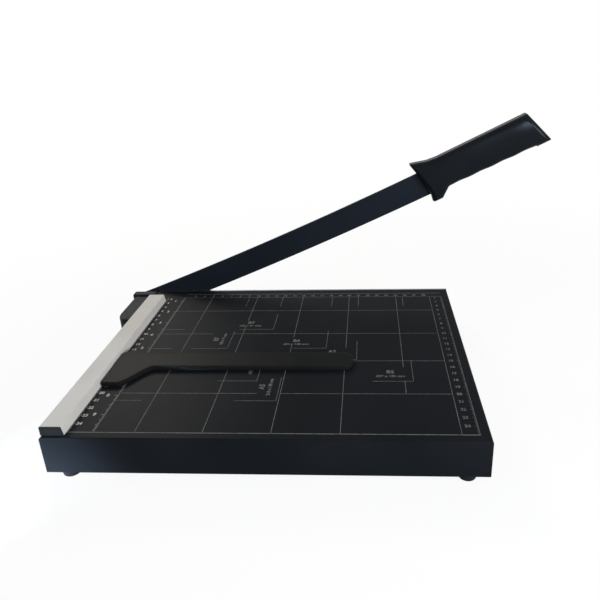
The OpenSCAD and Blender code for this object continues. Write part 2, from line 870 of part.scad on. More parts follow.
// Middle line of the spring, as points from its far end
spring_steps = 8;
spring_sides = 6;
spring_pitch = (spring_l - spring_wire) / spring_turns;
function spring_point(k) =
  let (a = 360 * k / spring_steps)
  [spring_r * cos(a), spring_r * sin(a), spring_wire / 2 + spring_pitch * k / spring_steps];
spring_rings = spring_turns * spring_steps;
spring_gap = min([
  for (i = [0 : spring_rings], j = [0 : spring_rings])
    if (j - i > spring_steps / 2) norm(spring_point(i) - spring_point(j)) - spring_wire
]);
echo("least gap between the spring's turns", spring_gap);

module pivot_spring() {
  slope = atan2(spring_pitch, 2 * PI * spring_r);
  rings = [
    for (k = [0 : spring_rings])
      let (a = 360 * k / spring_steps, c = spring_point(k))
      [
        for (s = [0 : spring_sides - 1])
          let (
            t = 360 * s / spring_sides,
            out = spring_wire / 2 * cos(t),
            up = spring_wire / 2 * sin(t)
          )
          c + [
            out * cos(a) + up * sin(slope) * sin(a),
            out * sin(a) - up * sin(slope) * cos(a),
            up * cos(slope)
          ]
      ]
  ];
  color(steel)
    place()
      along_bolt(spring_far)
        loft([for (k = [spring_rings : -1 : 0]) rings[k]], fan(spring_sides), fan(spring_sides));
}

module lock_nut() {
  collar_h = 2;
  collar_step = 0.4;
  color(zinc)
    on_arm()
      translate([0, 0, arm_far - nut_far])
        difference() {
          union() {
            cylinder(d = nut_af / cos(30), h = nut_h - collar_h, $fn = 6);
            cylinder(d = nut_af - 2 * collar_step, h = nut_h);
          }
          translate([0, 0, -cut]) cylinder(d = bolt_d + 2 * seat_clear, h = nut_h + 2 * cut);
        }
}

// Blade arm

// Outline of the blade and its tang, anticlockwise
function blade_outline() =
  let (
    low = arc(arm_centre, arm_r + arm_w / 2, 270 - arm_half, 270 + arm_half, arm_steps),
    high = arc(arm_centre, arm_r - arm_w / 2, 270 + arm_half, 270 - arm_half, arm_steps),
    root = arc([0, 0], arm_w / 2, 90 - arm_half, 270 - arm_half, 2 * corner_steps),
    tang = [
      [arm_chord, tang_rise - tang_w / 2],
      [tang_end - tang_corner, tang_rise - tang_w / 2],
      [tang_end, tang_rise - tang_w / 2 + tang_corner],
      [tang_end, tang_rise + tang_w / 2 - tang_corner],
      [tang_end - tang_corner, tang_rise + tang_w / 2],
      [arm_chord, tang_rise + tang_w / 2]
    ],
    root_inner = [for (i = [1 : len(root) - 2]) root[i]]
  )
  concat(low, tang, high, root_inner);

// Wedge removed along the lower edge on the far face, to grind the blade
module grind() {
  edge = arm_r + arm_w / 2;
  run = [bevel_h, arm_t - edge_t];
  start = [edge - bevel_h, 0] - run / bevel_h;
  end = [edge, arm_t - edge_t] + run / 2;
  from = 270 - arm_half + 2 * arm_half * bevel_start / arm_chord;
  translate(arm_centre)
    rotate([0, 0, from])
      rotate_extrude(angle = 270 + arm_half - from, $fn = 3600)
        polygon([start, [end.x, start.y], end]);
}

module blade_arm()
  color(coat_black)
    on_arm()
      difference() {
        linear_extrude(arm_t) polygon(blade_outline());
        grind();
        translate([-bolt_square / 2 - seat_clear, -bolt_square / 2 - seat_clear, -cut])
          cube([bolt_square + 2 * seat_clear, bolt_square + 2 * seat_clear, arm_t + 2 * cut]);
        for (u = handle_screw_us)
          translate([u, handle_screw_w, -cut])
            cylinder(d = handle_screw_d + 2 * hole_clear, h = arm_t + 2 * cut);
      }

// Handle

// Underside of the grip at u from the notch, with its finger scallops
function grip_low(u) =
  let (t = (u - grip_under_front) / (grip_under_end - grip_under_front))
  grip_under_rise * t - grip_under + scallop_depth * (1 - cos(360 * scallops_n * t)) / 2;

// Outline of the handle on the arm's plane, anticlockwise from the finger guard
function handle_outline() =
  let (
    steps = 8 * scallops_n,
    guard = rounded([
      [front_slant, -arm_w / 2, 0],
      [front_slant + guard_lean, -guard_under, guard_toe_r],
      [front_slant + guard_l, guard_rise - guard_under, guard_heel_r],
      [grip_under_front, -grip_under, guard_root_r],
      [grip_under_end, -grip_under, 0]
    ]),
    under = [
      for (i = [1 : steps])
        let (u = grip_under_front + (grip_under_end - grip_under_front) * i / steps) [u, grip_low(u)]
    ],
    guard_run = [for (i = [0 : len(guard) - 2]) guard[i]],
    end = [
      [grip_under_end + heel_run, grip_low(grip_under_end) - heel_step],
      [handle_l, handle_end.y],
      [handle_l - end_slant, grip_top + grip_rise]
    ],
    top = [
      [grip_front, grip_top],
      [spur_root, grip_top + spur_dip],
      [-spur_reach, spur_top],
      [0, arm_w / 2]
    ]
  )
  [for (p = concat(guard_run, under, end, top)) p + [arm_len, 0]];

// Room for the blade and tang inside the handle
module tang_room()
  translate([0, 0, -seat_clear])
    linear_extrude(arm_t + 2 * seat_clear) {
      translate([arm_len - spur_root, -arm_w / 2 - arm_dip - seat_clear])
        square([spur_root + arm_bite + arm_kick + seat_clear, arm_w + arm_dip + 2 * seat_clear]);
      translate([arm_len, tang_rise - tang_w / 2 - seat_clear])
        square([tang_l + seat_clear, tang_w + 2 * seat_clear]);
    }

module handle_inner()
  color(plastic_black)
    on_arm()
      difference() {
        translate([0, 0, arm_t / 2]) soft_slab(handle_outline(), handle_half, handle_soft);
        tang_room();
        for (u = handle_screw_us)
          translate([u, handle_screw_w, 0])
            cylinder(d = handle_screw_d + 2 * seat_clear, h = arm_t / 2 + handle_half - handle_screw_tip);
      }

module handle_outer()
  color(plastic_black)
    on_arm()
      difference() {
        translate([0, 0, arm_t / 2])
          mirror([0, 0, 1]) soft_slab(handle_outline(), handle_half, handle_soft);
        tang_room();
        for (u = handle_screw_us)
          translate([u, handle_screw_w, arm_t / 2 - handle_half - cut]) {
            cylinder(d = handle_screw_d + 2 * hole_clear, h = handle_half + 2 * cut);
            cylinder(d = head_d(handle_screw_d) + 2 * hole_clear, h = cut + handle_head_sink);
          }
      }

module handle_screws()
  color(zinc)
    on_arm()
      for (u = handle_screw_us)
        translate([u, handle_screw_w, arm_t / 2 - handle_half + handle_head_sink])
          pan_screw(handle_screw_d, handle_t - handle_head_sink - handle_screw_tip - handle_screw_room);

// Paper stop

// Half wave from point a to point b, level at both ends
function ease(a, b) = [
  for (i = [0 : corner_steps])
    let (t = i / corner_steps) [a.x + (b.x - a.x) * t, a.y + (b.y - a.y) * (1 - cos(180 * t)) / 2]
];

// Plan of the stop, anticlockwise from the curve between head and bar
function stop_plan() =
  let (
    sweep_start = stop_left + stop_head_w,
    sweep_end = sweep_start + stop_sweep,
    tip = rounded([
      [sweep_end, stop_near, 0],
      [stop_tip, stop_near, stop_tip_r],
      [stop_tip, stop_far, stop_tip_r],
      [sweep_end, stop_far, 0]
    ]),
    head = rounded([
      [stop_left + stop_head_chamfer, stop_head_top, 0],
      [stop_left, stop_head_top - stop_head_chamfer, stop_corner_r],
      [stop_left, stop_head_bottom, stop_corner_r],
      [sweep_start, stop_head_bottom, 0]
    ]),
    tip_run = [for (i = [1 : len(tip) - 2]) tip[i]],
    head_run = [for (i = [1 : len(head) - 2]) head[i]]
  )
  concat(
    ease([sweep_start, stop_head_bottom], [sweep_end, stop_near]),
    tip_run,
    ease([sweep_start + stop_head_w, stop_far], [stop_left + stop_head_chamfer, stop_head_top]),
    head_run
  );

module paper_stop()
  color(plastic_black)
    place()
      difference() {
        translate([0, 0, stop_bottom]) soft_slab(stop_plan(), stop_t, stop_soft);
        for (x = magnet_xs)
          translate([x, stop_far - stop_w / 2, stop_bottom - cut])
            cylinder(d = magnet_d + 2 * seat_clear, h = cut + magnet_t + magnet_sink);
      }

module stop_magnets()
  color(steel)
    place()
      for (x = magnet_xs)
        translate([x, stop_far - stop_w / 2, stop_bottom + magnet_sink]) cylinder(d = magnet_d, h = magnet_t);

base_tray();
stiffener_front();
stiffener_rear();
blade_backing_bar();
fixed_blade();
fixed_blade_screws();
fence();
fence_cap_front();
fence_cap_rear();
fence_screws();
pivot_housing();
housing_screws();
pivot_bush();
thrust_washer();
foot_front_left();
foot_front_right();
foot_rear_left();
foot_rear_right();
foot_screws();
foot_nuts();
blade_arm();
handle_inner();
handle_outer();
handle_screws();
pivot_bolt();
pivot_spring();
nut_washer();
lock_nut();
paper_stop();
stop_magnets();
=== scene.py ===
"""Looks of a lever paper cutter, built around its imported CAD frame.

The printed scale, the blade arm, the handle, the paper stop and the pivot spring are modelled here.
Every other piece is the CAD solid with a finish of its own.
"""

from __future__ import annotations

import json
import logging
import math
from dataclasses import dataclass
from enum import Enum
from typing import Callable, Sequence

import bmesh
import bpy
import numpy as np
from mathutils import Matrix, Vector
from mathutils.geometry import delaunay_2d_cdt


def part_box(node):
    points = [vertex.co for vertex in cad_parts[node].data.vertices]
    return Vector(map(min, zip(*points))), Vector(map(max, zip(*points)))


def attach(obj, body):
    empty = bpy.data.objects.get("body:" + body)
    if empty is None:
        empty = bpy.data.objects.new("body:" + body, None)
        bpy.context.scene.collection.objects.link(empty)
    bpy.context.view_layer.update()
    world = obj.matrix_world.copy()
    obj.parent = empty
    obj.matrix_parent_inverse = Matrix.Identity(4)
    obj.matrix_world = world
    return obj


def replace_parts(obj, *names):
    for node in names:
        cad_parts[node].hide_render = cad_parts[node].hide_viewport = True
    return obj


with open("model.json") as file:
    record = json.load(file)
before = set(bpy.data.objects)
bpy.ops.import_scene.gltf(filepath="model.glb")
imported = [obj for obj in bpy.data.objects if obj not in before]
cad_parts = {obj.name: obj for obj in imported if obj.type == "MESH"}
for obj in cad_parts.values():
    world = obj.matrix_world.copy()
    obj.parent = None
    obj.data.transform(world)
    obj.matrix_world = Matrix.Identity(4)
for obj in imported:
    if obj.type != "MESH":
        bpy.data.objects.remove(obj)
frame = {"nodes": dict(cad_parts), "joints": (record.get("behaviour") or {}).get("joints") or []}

LOG = logging.getLogger("paper_cutter")
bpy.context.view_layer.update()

# Metres in a millimetre: sizes below are millimetres unless they say otherwise
MM = 0.001

# Angle of the raised arm above the board, in degrees
ARM_RAISED = 23.3

# Sockets of Blender's Mix node when it mixes colours
MIX_FACTOR, MIX_FIRST, MIX_SECOND, MIX_COLOUR = 0, 6, 7, 2

# Blender's triangulation: it keeps what is inside the outline, and points closer than this are one
INSIDE_ONLY, SAME_POINT = 1, 1e-6

# Short names for types that come up often
Pair = tuple[float, float]
Triple = tuple[float, float, float]
Four = tuple[float, float, float, float]
Tree, Socket = bpy.types.NodeTree, bpy.types.NodeSocket
Array = np.ndarray
Height = Callable[[Array, Array], Array]


def linear(hex_colour: str) -> Four:
    """Returns an sRGB hex colour, a # and six digits, as linear red, green, blue and alpha."""
    parts = [int(hex_colour[i:i + 2], 16) / 255 for i in (1, 3, 5)]
    red, green, blue = (p / 12.92 if p <= 0.04045 else ((p + 0.055) / 1.055) ** 2.4 for p in parts)
    return red, green, blue, 1.0


def per(size: float) -> float:
    """Returns the scale of a pattern whose features are size millimetres across."""
    return 1 / (size * MM)


def feed(tree: Tree, node: bpy.types.Node, inputs: dict) -> None:
    """Sets a node's sockets, by name or number, to values or to the output sockets that feed them."""
    for key, value in inputs.items():
        if isinstance(value, Socket):
            tree.links.new(value, node.inputs[key])
        else:
            node.inputs[key].default_value = value


def add_node(tree: Tree, kind: str, inputs: dict | None = None, **settings: object) -> bpy.types.Node:
    """Adds a shader node, with its settings and what feeds it.

    Args:
        tree: the material's or the world's node tree
        kind: the node's type name without its ShaderNode prefix
        inputs: socket name or number to a value, or to the output socket that feeds it
        settings: the node's own properties

    Returns:
        The new node.
    """
    node = tree.nodes.new("ShaderNode" + kind)
    for name, value in settings.items():
        setattr(node, name, value)
    feed(tree, node, inputs or {})
    return node


def mix_colours(tree: Tree, share: Socket, first: Socket | Four, second: Socket | Four) -> Socket:
    """Returns a colour that goes from the first to the second with their share."""
    inputs = {MIX_FACTOR: share, MIX_FIRST: first, MIX_SECOND: second}
    return add_node(tree, "Mix", inputs, data_type="RGBA").outputs[MIX_COLOUR]


def combine(tree: Tree, operation: str, first: Socket, second: Socket) -> Socket:
    """Returns what an operation makes of two values."""
    return add_node(tree, "Math", {0: first, 1: second}, operation=operation).outputs["Value"]


def remap(
    tree: Tree, value: Socket, start: float, end: float,
    low: float = 0.0, high: float = 1.0, rise: str = "LINEAR",
) -> Socket:
    """Returns a value stretched from the range of start to end to that of low to high."""
    inputs = {"Value": value, "From Min": start, "From Max": end, "To Min": low, "To Max": high}
    return add_node(tree, "MapRange", inputs, interpolation_type=rise).outputs["Result"]


def put(name: str, data: bpy.types.ID) -> bpy.types.Object:
    """Returns a new object of the scene that shows a mesh, a lamp or a camera."""
    item = bpy.data.objects.new(name, data)
    bpy.context.scene.collection.objects.link(item)
    return item


class Lay(Enum):
    """How a finish's fine pattern lies: its stretch along X, Y and Z, and its turn about Y in degrees."""

    EVEN = (1.0, 1.0, 1.0, 0.0)
    ALONG_X = (40.0, 1.0, 1.0, 0.0)
    ALONG_Y = (1.0, 40.0, 1.0, 0.0)
    ALONG_ARM = (40.0, 1.0, 1.0, -ARM_RAISED)
    ACROSS_ARM = (1.0, 1.0, 12.0, -ARM_RAISED)


@dataclass(frozen=True)
class Finish:
    """A surface as the eye meets it: a material, how its face was made and the pattern that this leaves.

    Attributes:
        name: the material and its making
        colour: its main colour
        shade: a second colour, in soft patches
        roughness: how far highlights spread, from 0 to 1
        spread: how much the grain changes the roughness
        patch: size of the soft patches
        grain: size of the fine grain
        relief: height of the grain
        lay: how the grain lies
        metallic: 1 for bare metal
        gloss: strength of the surface reflection, where 0.5 is an ordinary plastic
        worn: colour of lighter edges, a painted edge highlight together with light rubbing, if they show
        worn_width: width of such a lighter edge
    """

    name: str
    colour: str
    shade: str
    roughness: float
    spread: float = 0.06
    patch: float = 45.0
    grain: float = 0.8
    relief: float = 0.02
    lay: Lay = Lay.EVEN
    metallic: float = 0.0
    gloss: float = 0.5
    worn: str | None = None
    worn_width: float = 0.7

    # Values of the noise between which the patches and the grain change
    PATCH_RANGE, GRAIN_RANGE = (0.35, 0.65), (0.3, 0.7)

    # How far a rounded normal agrees with the true one where the lighter edges start and are full, and their
    # full share; they are a painted highlight with light rubbing
    WEAR_RANGE, MOST_WORN = (0.98, 0.8), 0.8

    def material(self) -> bpy.types.Material:
        """Returns the finish's material, made on first use."""
        return bpy.data.materials.get(self.name) or self.made()

    def made(self) -> bpy.types.Material:
        """Returns a new material: patches of colour, a grain in roughness and relief, and edges lightened by
        a painted highlight and light rubbing.
        """
        material = bpy.data.materials.new(self.name)
        material.use_nodes = True
        tree = material.node_tree
        shader = tree.nodes["Principled BSDF"]
        *stretch, turn = self.lay.value
        place = add_node(tree, "TexCoord").outputs["Object"]
        laid = add_node(
            tree, "Mapping",
            {"Vector": place, "Rotation": (0, math.radians(turn), 0), "Scale": stretch},
            vector_type="TEXTURE",
        ).outputs["Vector"]
        grain, patches = (
            add_node(tree, "TexNoise", {"Vector": v, "Scale": per(size), "Detail": detail}).outputs["Fac"]
            for v, size, detail in ((laid, self.grain, 3.0), (place, self.patch, 2.0))
        )
        share = remap(tree, patches, *self.PATCH_RANGE)
        colour = mix_colours(tree, share, linear(self.colour), linear(self.shade))
        # Lighter edges: a painted edge highlight together with light rubbing
        if self.worn:
            colour = self.with_worn_edges(tree, colour, grain)
        low, high = self.roughness - self.spread, self.roughness + self.spread
        rough = remap(tree, grain, *self.GRAIN_RANGE, low, high)
        bump = add_node(tree, "Bump", {"Height": grain, "Distance": self.relief * MM}).outputs["Normal"]
        feed(tree, shader, {
            "Base Color": colour, "Roughness": rough, "Normal": bump,
            "Metallic": self.metallic, "Specular IOR Level": self.gloss,
        })
        return material

    def with_worn_edges(self, tree: Tree, colour: Socket, grain: Socket) -> Socket:
        """Lightens the colour along edges, where a rounded normal leaves the true one: a painted edge
        highlight together with light rubbing.

        Args:
            tree: the material's node tree
            colour: the colour before the edges are lightened
            grain: the fine pattern that breaks up the lighter line

        Returns:
            The colour with its edges lightened by a painted highlight and light rubbing.
        """
        rounded_normal = add_node(
            tree, "Bevel", {"Radius": self.worn_width * MM}, samples=6
        ).outputs["Normal"]
        true_normal = add_node(tree, "NewGeometry").outputs["Normal"]
        agree = add_node(
            tree, "VectorMath", {0: rounded_normal, 1: true_normal}, operation="DOT_PRODUCT"
        ).outputs["Value"]
        edge = remap(tree, agree, *self.WEAR_RANGE, high=self.MOST_WORN)
        lit_and_rubbed = combine(tree, "MULTIPLY", edge, grain)
        return mix_colours(tree, lit_and_rubbed, colour, linear(self.worn))


# Baked polyester powder on sheet steel: near black, with a fine pebble that kills sharp reflections.
# The real pebble is about 0.3 mm; it is drawn coarser so that it shows.
# Its lighter edges are a painted edge highlight together with light rubbing.
POWDER_COAT = Finish(
    "powder_coated_sheet_steel", "#131619", "#181a1d", 0.42, patch=90, grain=0.7, relief=0.03,
    gloss=0.014, worn="#2b2d30",
)

# Screen-printed ink: pale grey and thin, with uneven cover that lets the black through
THIN_INK = Finish(
    "screen_printed_ink", "#6e6e6c", "#565655", 0.6, patch=4, grain=0.5, relief=0.004, gloss=0.05
)

# The same ink, printed heavier for the ruler by the fence: whiter and more even
HEAVY_INK = Finish(
    "heavy_screen_printed_ink", "#bfbfbc", "#a4a4a2", 0.6, patch=4, grain=0.5, relief=0.004, gloss=0.05
)

# Blade steel, ground flat and then painted black: satin, with faint lines along its length
# Its lighter edges are a painted edge highlight together with light rubbing.
BLACKED_STEEL = Finish(
    "blacked_blade_steel", "#151a20", "#1a1f25", 0.45, patch=120, grain=0.9, relief=0.012,
    lay=Lay.ALONG_ARM, gloss=0.04, worn="#34383e", worn_width=0.5,
)

# The blade's bevel, bare from the grinding wheel: bright, with scratches across the edge
GROUND_BEVEL = Finish(
    "wheel_ground_steel", "#b9bbbe", "#a4a6a9", 0.3, patch=40, grain=0.35, relief=0.01,
    lay=Lay.ACROSS_ARM, metallic=1.0,
)

# Surface-ground tool steel of the fixed blade, lightly oiled: fine lines along the edge
GROUND_STEEL = Finish(
    "surface_ground_steel", "#8d8f93", "#77797d", 0.34, patch=30, grain=0.35, relief=0.008,
    lay=Lay.ALONG_X, metallic=1.0,
)

# Moulded ABS with a spark-eroded texture: black, with a soft wide sheen
MOULDED_ABS = Finish(
    "moulded_black_abs", "#0b0f13", "#0f1317", 0.23, 0.04, patch=30, grain=0.5, relief=0.006, gloss=0.07
)

# The same ABS, moulded matt and dark grey for the stop and the fence's caps
MATT_ABS = Finish(
    "moulded_grey_abs", "#171818", "#1b1c1c", 0.4, patch=40, grain=0.6, relief=0.02, gloss=0.014
)

# Stove enamel on a die casting: dark grey, softly mottled by the casting's skin
# Its lighter edges are a painted edge highlight together with light rubbing.
CAST_ENAMEL = Finish(
    "enamelled_die_casting", "#1b1e22", "#24272b", 0.5, patch=9, grain=1.6, relief=0.05,
    gloss=0.03, worn="#46494e",
)

# Aluminium extrusion under a warm grey coat: die lines run along it
# Its lighter edges are a painted edge highlight together with light rubbing.
COATED_ALUMINIUM = Finish(
    "coated_aluminium_extrusion", "#c3c1bc", "#bbb9b4", 0.5, patch=50, grain=0.5, relief=0.006,
    lay=Lay.ALONG_Y, gloss=0.04, worn="#d4d2cc", worn_width=0.5,
)

# Zinc plate on turned and pressed steel: bright and faintly blue, with a cloudy bloom
ZINC_PLATE = Finish(
    "zinc_plated_steel", "#b4b9bf", "#9ca2aa", 0.32, patch=5, grain=0.3, relief=0.006, metallic=1.0
)

# Oiled spring wire: drawn, so its fine lines follow the wire
SPRING_WIRE = Finish(
    "drawn_spring_wire", "#6f7278", "#54575c", 0.36, patch=4, grain=0.3, relief=0.005, metallic=1.0
)

# Sintered bronze: open pores and a dull gold
SINTERED_BRONZE = Finish(
    "sintered_bronze", "#a98450", "#8d6c3f", 0.45, patch=3, grain=0.3, relief=0.02, metallic=1.0
)

# Moulded rubber: deep matt black with a dusty bloom
MOULDED_RUBBER = Finish(
    "moulded_rubber", "#0f1011", "#171819", 0.75, patch=6, grain=0.5, relief=0.02, gloss=0.1
)

# Finish of every CAD solid that shows as it is
CAD_FINISHES = {
    POWDER_COAT: ("base_tray", "stiffener_front", "stiffener_rear"),
    CAST_ENAMEL: ("pivot_housing",),
    COATED_ALUMINIUM: ("fence",),
    MATT_ABS: ("fence_cap_front", "fence_cap_rear"),
    GROUND_STEEL: ("fixed_blade", "stop_magnets"),
    SINTERED_BRONZE: ("pivot_bush",),
    MOULDED_RUBBER: ("foot_front_left", "foot_front_right", "foot_rear_left", "foot_rear_right"),
    ZINC_PLATE: (
        "blade_backing_bar", "fixed_blade_screws", "fence_screws", "housing_screws", "thrust_washer",
        "foot_screws", "foot_nuts", "handle_screws", "pivot_bolt", "nut_washer", "lock_nut",
    ),
}


def rounded(corners: Sequence[Triple], steps: int = 10) -> list[Pair]:
    """Rounds the corners of a closed outline.

    Args:
        corners: x, y and radius of each corner; a radius of 0 keeps it sharp
        steps: sides of each rounded corner

    Returns:
        The outline's points in the same order.
    """
    points: list[Pair] = []
    for i, (x, y, radius) in enumerate(corners):
        here = Vector((x, y))
        if radius == 0:
            points.append((x, y))
            continue
        back = (Vector(corners[i - 1][:2]) - here).normalized()
        ahead = (Vector(corners[(i + 1) % len(corners)][:2]) - here).normalized()
        half = back.angle(ahead) / 2
        middle = here + (back + ahead).normalized() * radius / math.sin(half)
        first = here + back * radius / math.tan(half) - middle
        last = here + ahead * radius / math.tan(half) - middle
        turn = math.atan2(first.cross(last), first.dot(last))
        for k in range(steps + 1):
            spoke = Matrix.Rotation(turn * k / steps, 2) @ first
            points.append(tuple(middle + spoke))
    return points


def with_short_sides(points: Sequence[Pair], longest: float) -> Array:
    """Returns a closed outline with its sides split so that none is longer than a given length."""
    made = []
    for i, start in enumerate(points):
        end = points[(i + 1) % len(points)]
        parts = max(1, math.ceil(math.dist(start, end) / longest))
        made += [np.array(start) + (np.array(end) - start) * k / parts for k in range(parts)]
    return np.array(made)


def distances(points: Array, outline: Array) -> Array:
    """Returns how far points are from the nearest side of a closed outline."""
    side = np.roll(outline, -1, axis=0) - outline
    gap = points[:, None, :] - outline[None, :, :]
    along = np.clip((gap * side).sum(2) / (side * side).sum(1), 0, 1)
    return np.linalg.norm(gap - along[..., None] * side, axis=2).min(1)


def drop(depth: Array, radius: float) -> Array:
    """Returns how far a face with a rounded edge lies below its full height, at depths from the edge."""
    short = np.clip(radius - depth, 0, radius)
    return radius - np.sqrt(radius * radius - short * short)


def smooth_step(value: Array, start: float, end: float) -> Array:
    """Returns a smooth rise from 0 at start to 1 at end."""
    share = np.clip((value - start) / (end - start), 0, 1)
    return share * share * (3 - 2 * share)


@dataclass
class Plate:
    """A closed plate on a flat outline, whose two faces have a height over each point.

    Attributes:
        outline: its edge, anticlockwise
        insets: depths from the edge at which rows of points follow it
        top: height of the upper face from points and their depths
        bottom: height of the lower face, likewise
        extra: further points that the faces need
    """

    outline: Array
    insets: Sequence[float]
    top: Height
    bottom: Height
    extra: Sequence[Pair] = ()

    # Share of a row's depth that its points must truly have
    TRULY = 0.98

    # Cells to a millimetre, each of which takes one inner point at most
    CELLS = 8

    # Angle from which an edge stays sharp, in degrees
    SHARP = 32

    def row(self, inset: float) -> Array:
        """Returns the edge moved inwards by an inset, without what isn't truly that deep."""
        back = self.outline - np.roll(self.outline, 1, axis=0)
        ahead = np.roll(back, -1, axis=0)
        back, ahead = (
            np.stack([-v[:, 1], v[:, 0]], axis=1) / np.linalg.norm(v, axis=1)[:, None] for v in (back, ahead)
        )
        moved = self.outline + inset * (back + ahead) / (1 + (back * ahead).sum(1))[:, None]
        return moved[distances(moved, self.outline) > inset * self.TRULY]

    def points(self) -> Array:
        """Returns the edge, then its inner rows and the extra points, without those that lie together."""
        kept = list(self.outline)
        cells = {tuple(np.round(p * self.CELLS)) for p in kept}
        inner = [self.row(inset) for inset in self.insets] + [np.array(self.extra).reshape(-1, 2)]
        for point in np.concatenate(inner):
            cell = tuple(np.round(point * self.CELLS))
            if cell not in cells:
                cells.add(cell)
                kept.append(point)
        return np.array(kept)

    def mesh(self, name: str, place: Matrix) -> bpy.types.Mesh:
        """Makes the plate as a closed mesh.

        Args:
            name: name of the mesh
            place: from the plate's millimetres to the frame

        Returns:
            The mesh, shaded smooth with its sharp edges kept.
        """
        edge = [list(range(len(self.outline)))]
        corners = [Vector(p) for p in self.points()]
        flat, _, triangles, *_ = delaunay_2d_cdt(corners, [], edge, INSIDE_ONLY, SAME_POINT)
        spots = np.array([tuple(p) for p in flat])
        depth = distances(spots, self.outline)
        count = len(spots)
        upper = np.column_stack([spots, self.top(spots, depth)])
        lower = np.column_stack([spots, self.bottom(spots, depth)])
        runs = {(t[k], t[(k + 1) % 3]) for t in triangles for k in range(3)}
        rim = sorted((a, b) for a, b in runs if (b, a) not in runs)
        faces = [tuple(t) for t in triangles]
        faces += [tuple(count + i for i in reversed(t)) for t in triangles]
        faces += [(count + a, count + b, b, a) for a, b in rim]
        mesh = bpy.data.meshes.new(name)
        mesh.from_pydata(np.concatenate([upper, lower]).tolist(), [], faces)
        mesh.transform(place)
        if place.determinant() < 0:
            mesh.flip_normals()
        mesh.shade_smooth()
        mesh.set_sharp_from_angle(angle=math.radians(self.SHARP))
        return mesh


def shown(mesh: bpy.types.Mesh, body: str, slot: str, *finishes: Finish) -> bpy.types.Object:
    """Puts a mesh in the scene as a piece of the object.

    Args:
        mesh: the piece's mesh, in the frame; its name is the piece's
        body: the CAD body that it rides on
        slot: the record's material slot; not used
        finishes: its finishes, in the order of its faces' material numbers

    Returns:
        The piece.
    """
    piece = put(mesh.name, mesh)
    for finish in finishes:
        mesh.materials.append(finish.material())
    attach(piece, body)
    LOG.info("%s rides on %s: %d faces, %s", piece.name, body, len(mesh.polygons), finishes[0].name)
    return piece


class InkLayer:
    """One printed layer on the board: thin closed bars and letters, gathered into one piece.

    Places are millimetres to the right of the scale's zero and towards the user.
    """

    # Height of a capital letter in a font of size 1, and how far its strokes are thickened
    CAPITAL = 0.73
    BOLD = 0.03

    # Points closer than this are one
    TOGETHER = 0.001

    # A line towards the user is longer than its run by this share of its width, and other lines by all of it,
    # so that no two lines share an edge where they meet
    SHORT = 0.8

    def __init__(self, name: str, ink: Finish, zero: Vector, thickness: float) -> None:
        """Starts an empty layer whose zero is a point on the board."""
        self.name = name
        self.ink = ink
        self.zero = zero
        self.thickness = thickness
        self.gathered = bmesh.new()

    def at(self, x: float, y: float) -> Matrix:
        """Returns the move to a place on the scale."""
        return Matrix.Translation(self.zero + Vector((x * MM, -y * MM, self.thickness * MM / 2)))

    def bar(self, start: Pair, end: Pair, width: float) -> None:
        """Draws a straight line along X or Y between two places."""
        middle = [(a + b) / 2 for a, b in zip(start, end)]
        wide, deep = (abs(a - b) for a, b in zip(start, end))
        size = (wide + width, deep + width * (self.SHORT if deep else 1), self.thickness)
        stretch = Matrix.Diagonal([s * MM for s in size] + [1])
        bmesh.ops.create_cube(self.gathered, size=1, matrix=self.at(*middle) @ stretch)

    def letters(self, text: str, place: Pair, height: float, turned: bool = False) -> None:
        """Sets a short line of figures or letters.

        Args:
            text: what it says
            place: its middle
            height: height of a figure
            turned: whether it reads up the board instead of along it
        """
        curve = bpy.data.curves.new(self.name, "FONT")
        curve.body = text
        curve.size = height * MM / self.CAPITAL
        curve.align_x = "CENTER"
        curve.align_y = "CENTER"
        curve.extrude = self.thickness * MM / 2
        curve.offset = self.BOLD * curve.size
        curve.resolution_u = 3
        holder = bpy.data.objects.new(self.name, curve)
        mesh = holder.to_mesh()
        mesh.transform(self.at(*place) @ Matrix.Rotation(math.pi / 2 if turned else 0, 4, "Z"))
        self.gathered.from_mesh(mesh)
        holder.to_mesh_clear()
        bpy.data.objects.remove(holder)
        bpy.data.curves.remove(curve)

    def piece(self) -> bpy.types.Object:
        """Returns the layer as a piece that rides on the base."""
        bmesh.ops.remove_doubles(self.gathered, verts=self.gathered.verts, dist=self.TOGETHER * MM)
        mesh = bpy.data.meshes.new(self.name)
        self.gathered.to_mesh(mesh)
        self.gathered.free()
        return shown(mesh, "base", "powder_coated_steel", self.ink)


class Way(Enum):
    """Which way a sheet lies on the board: its long side along the cut, or towards the user."""

    LANDSCAPE = False
    PORTRAIT = True


@dataclass(frozen=True)
class SheetMark:
    """The corner that marks a paper format on the board.

    Attributes:
        name: the format's letter and number
        short: its short side
        long: its long side
        way: which way the sheet lies
        back: how far its name stands back from the corner, along the long side
    """

    name: str
    short: float
    long: float
    way: Way
    back: float

    # The name and the size: how far they stand in from the long side, and their figures' height
    NAME_IN, NAME_HIGH = 14.0, 4.6
    SIZE_IN, SIZE_HIGH = 7.5, 3.0

    def place(self, along: float, across: float) -> Pair:
        """Returns a place on the scale from distances along the sheet's long and short sides."""
        return (across, along) if self.way is Way.PORTRAIT else (along, across)

    def draw(self, layer: InkLayer, leg: float, width: float) -> None:
        """Draws the corner, its name and its size on a layer; the corner's legs have a length and a width."""
        corner = self.place(self.long, self.short)
        layer.bar(self.place(self.long - leg, self.short), corner, width)
        layer.bar(self.place(self.long, self.short - leg), corner, width)
        middle = self.long - self.back
        turned = self.way.value
        size = f"{self.long:g} x {self.short:g} mm"
        layer.letters(self.name, self.place(middle, self.short - self.NAME_IN), self.NAME_HIGH, turned)
        layer.letters(size, self.place(middle, self.short - self.SIZE_IN), self.SIZE_HIGH, turned)


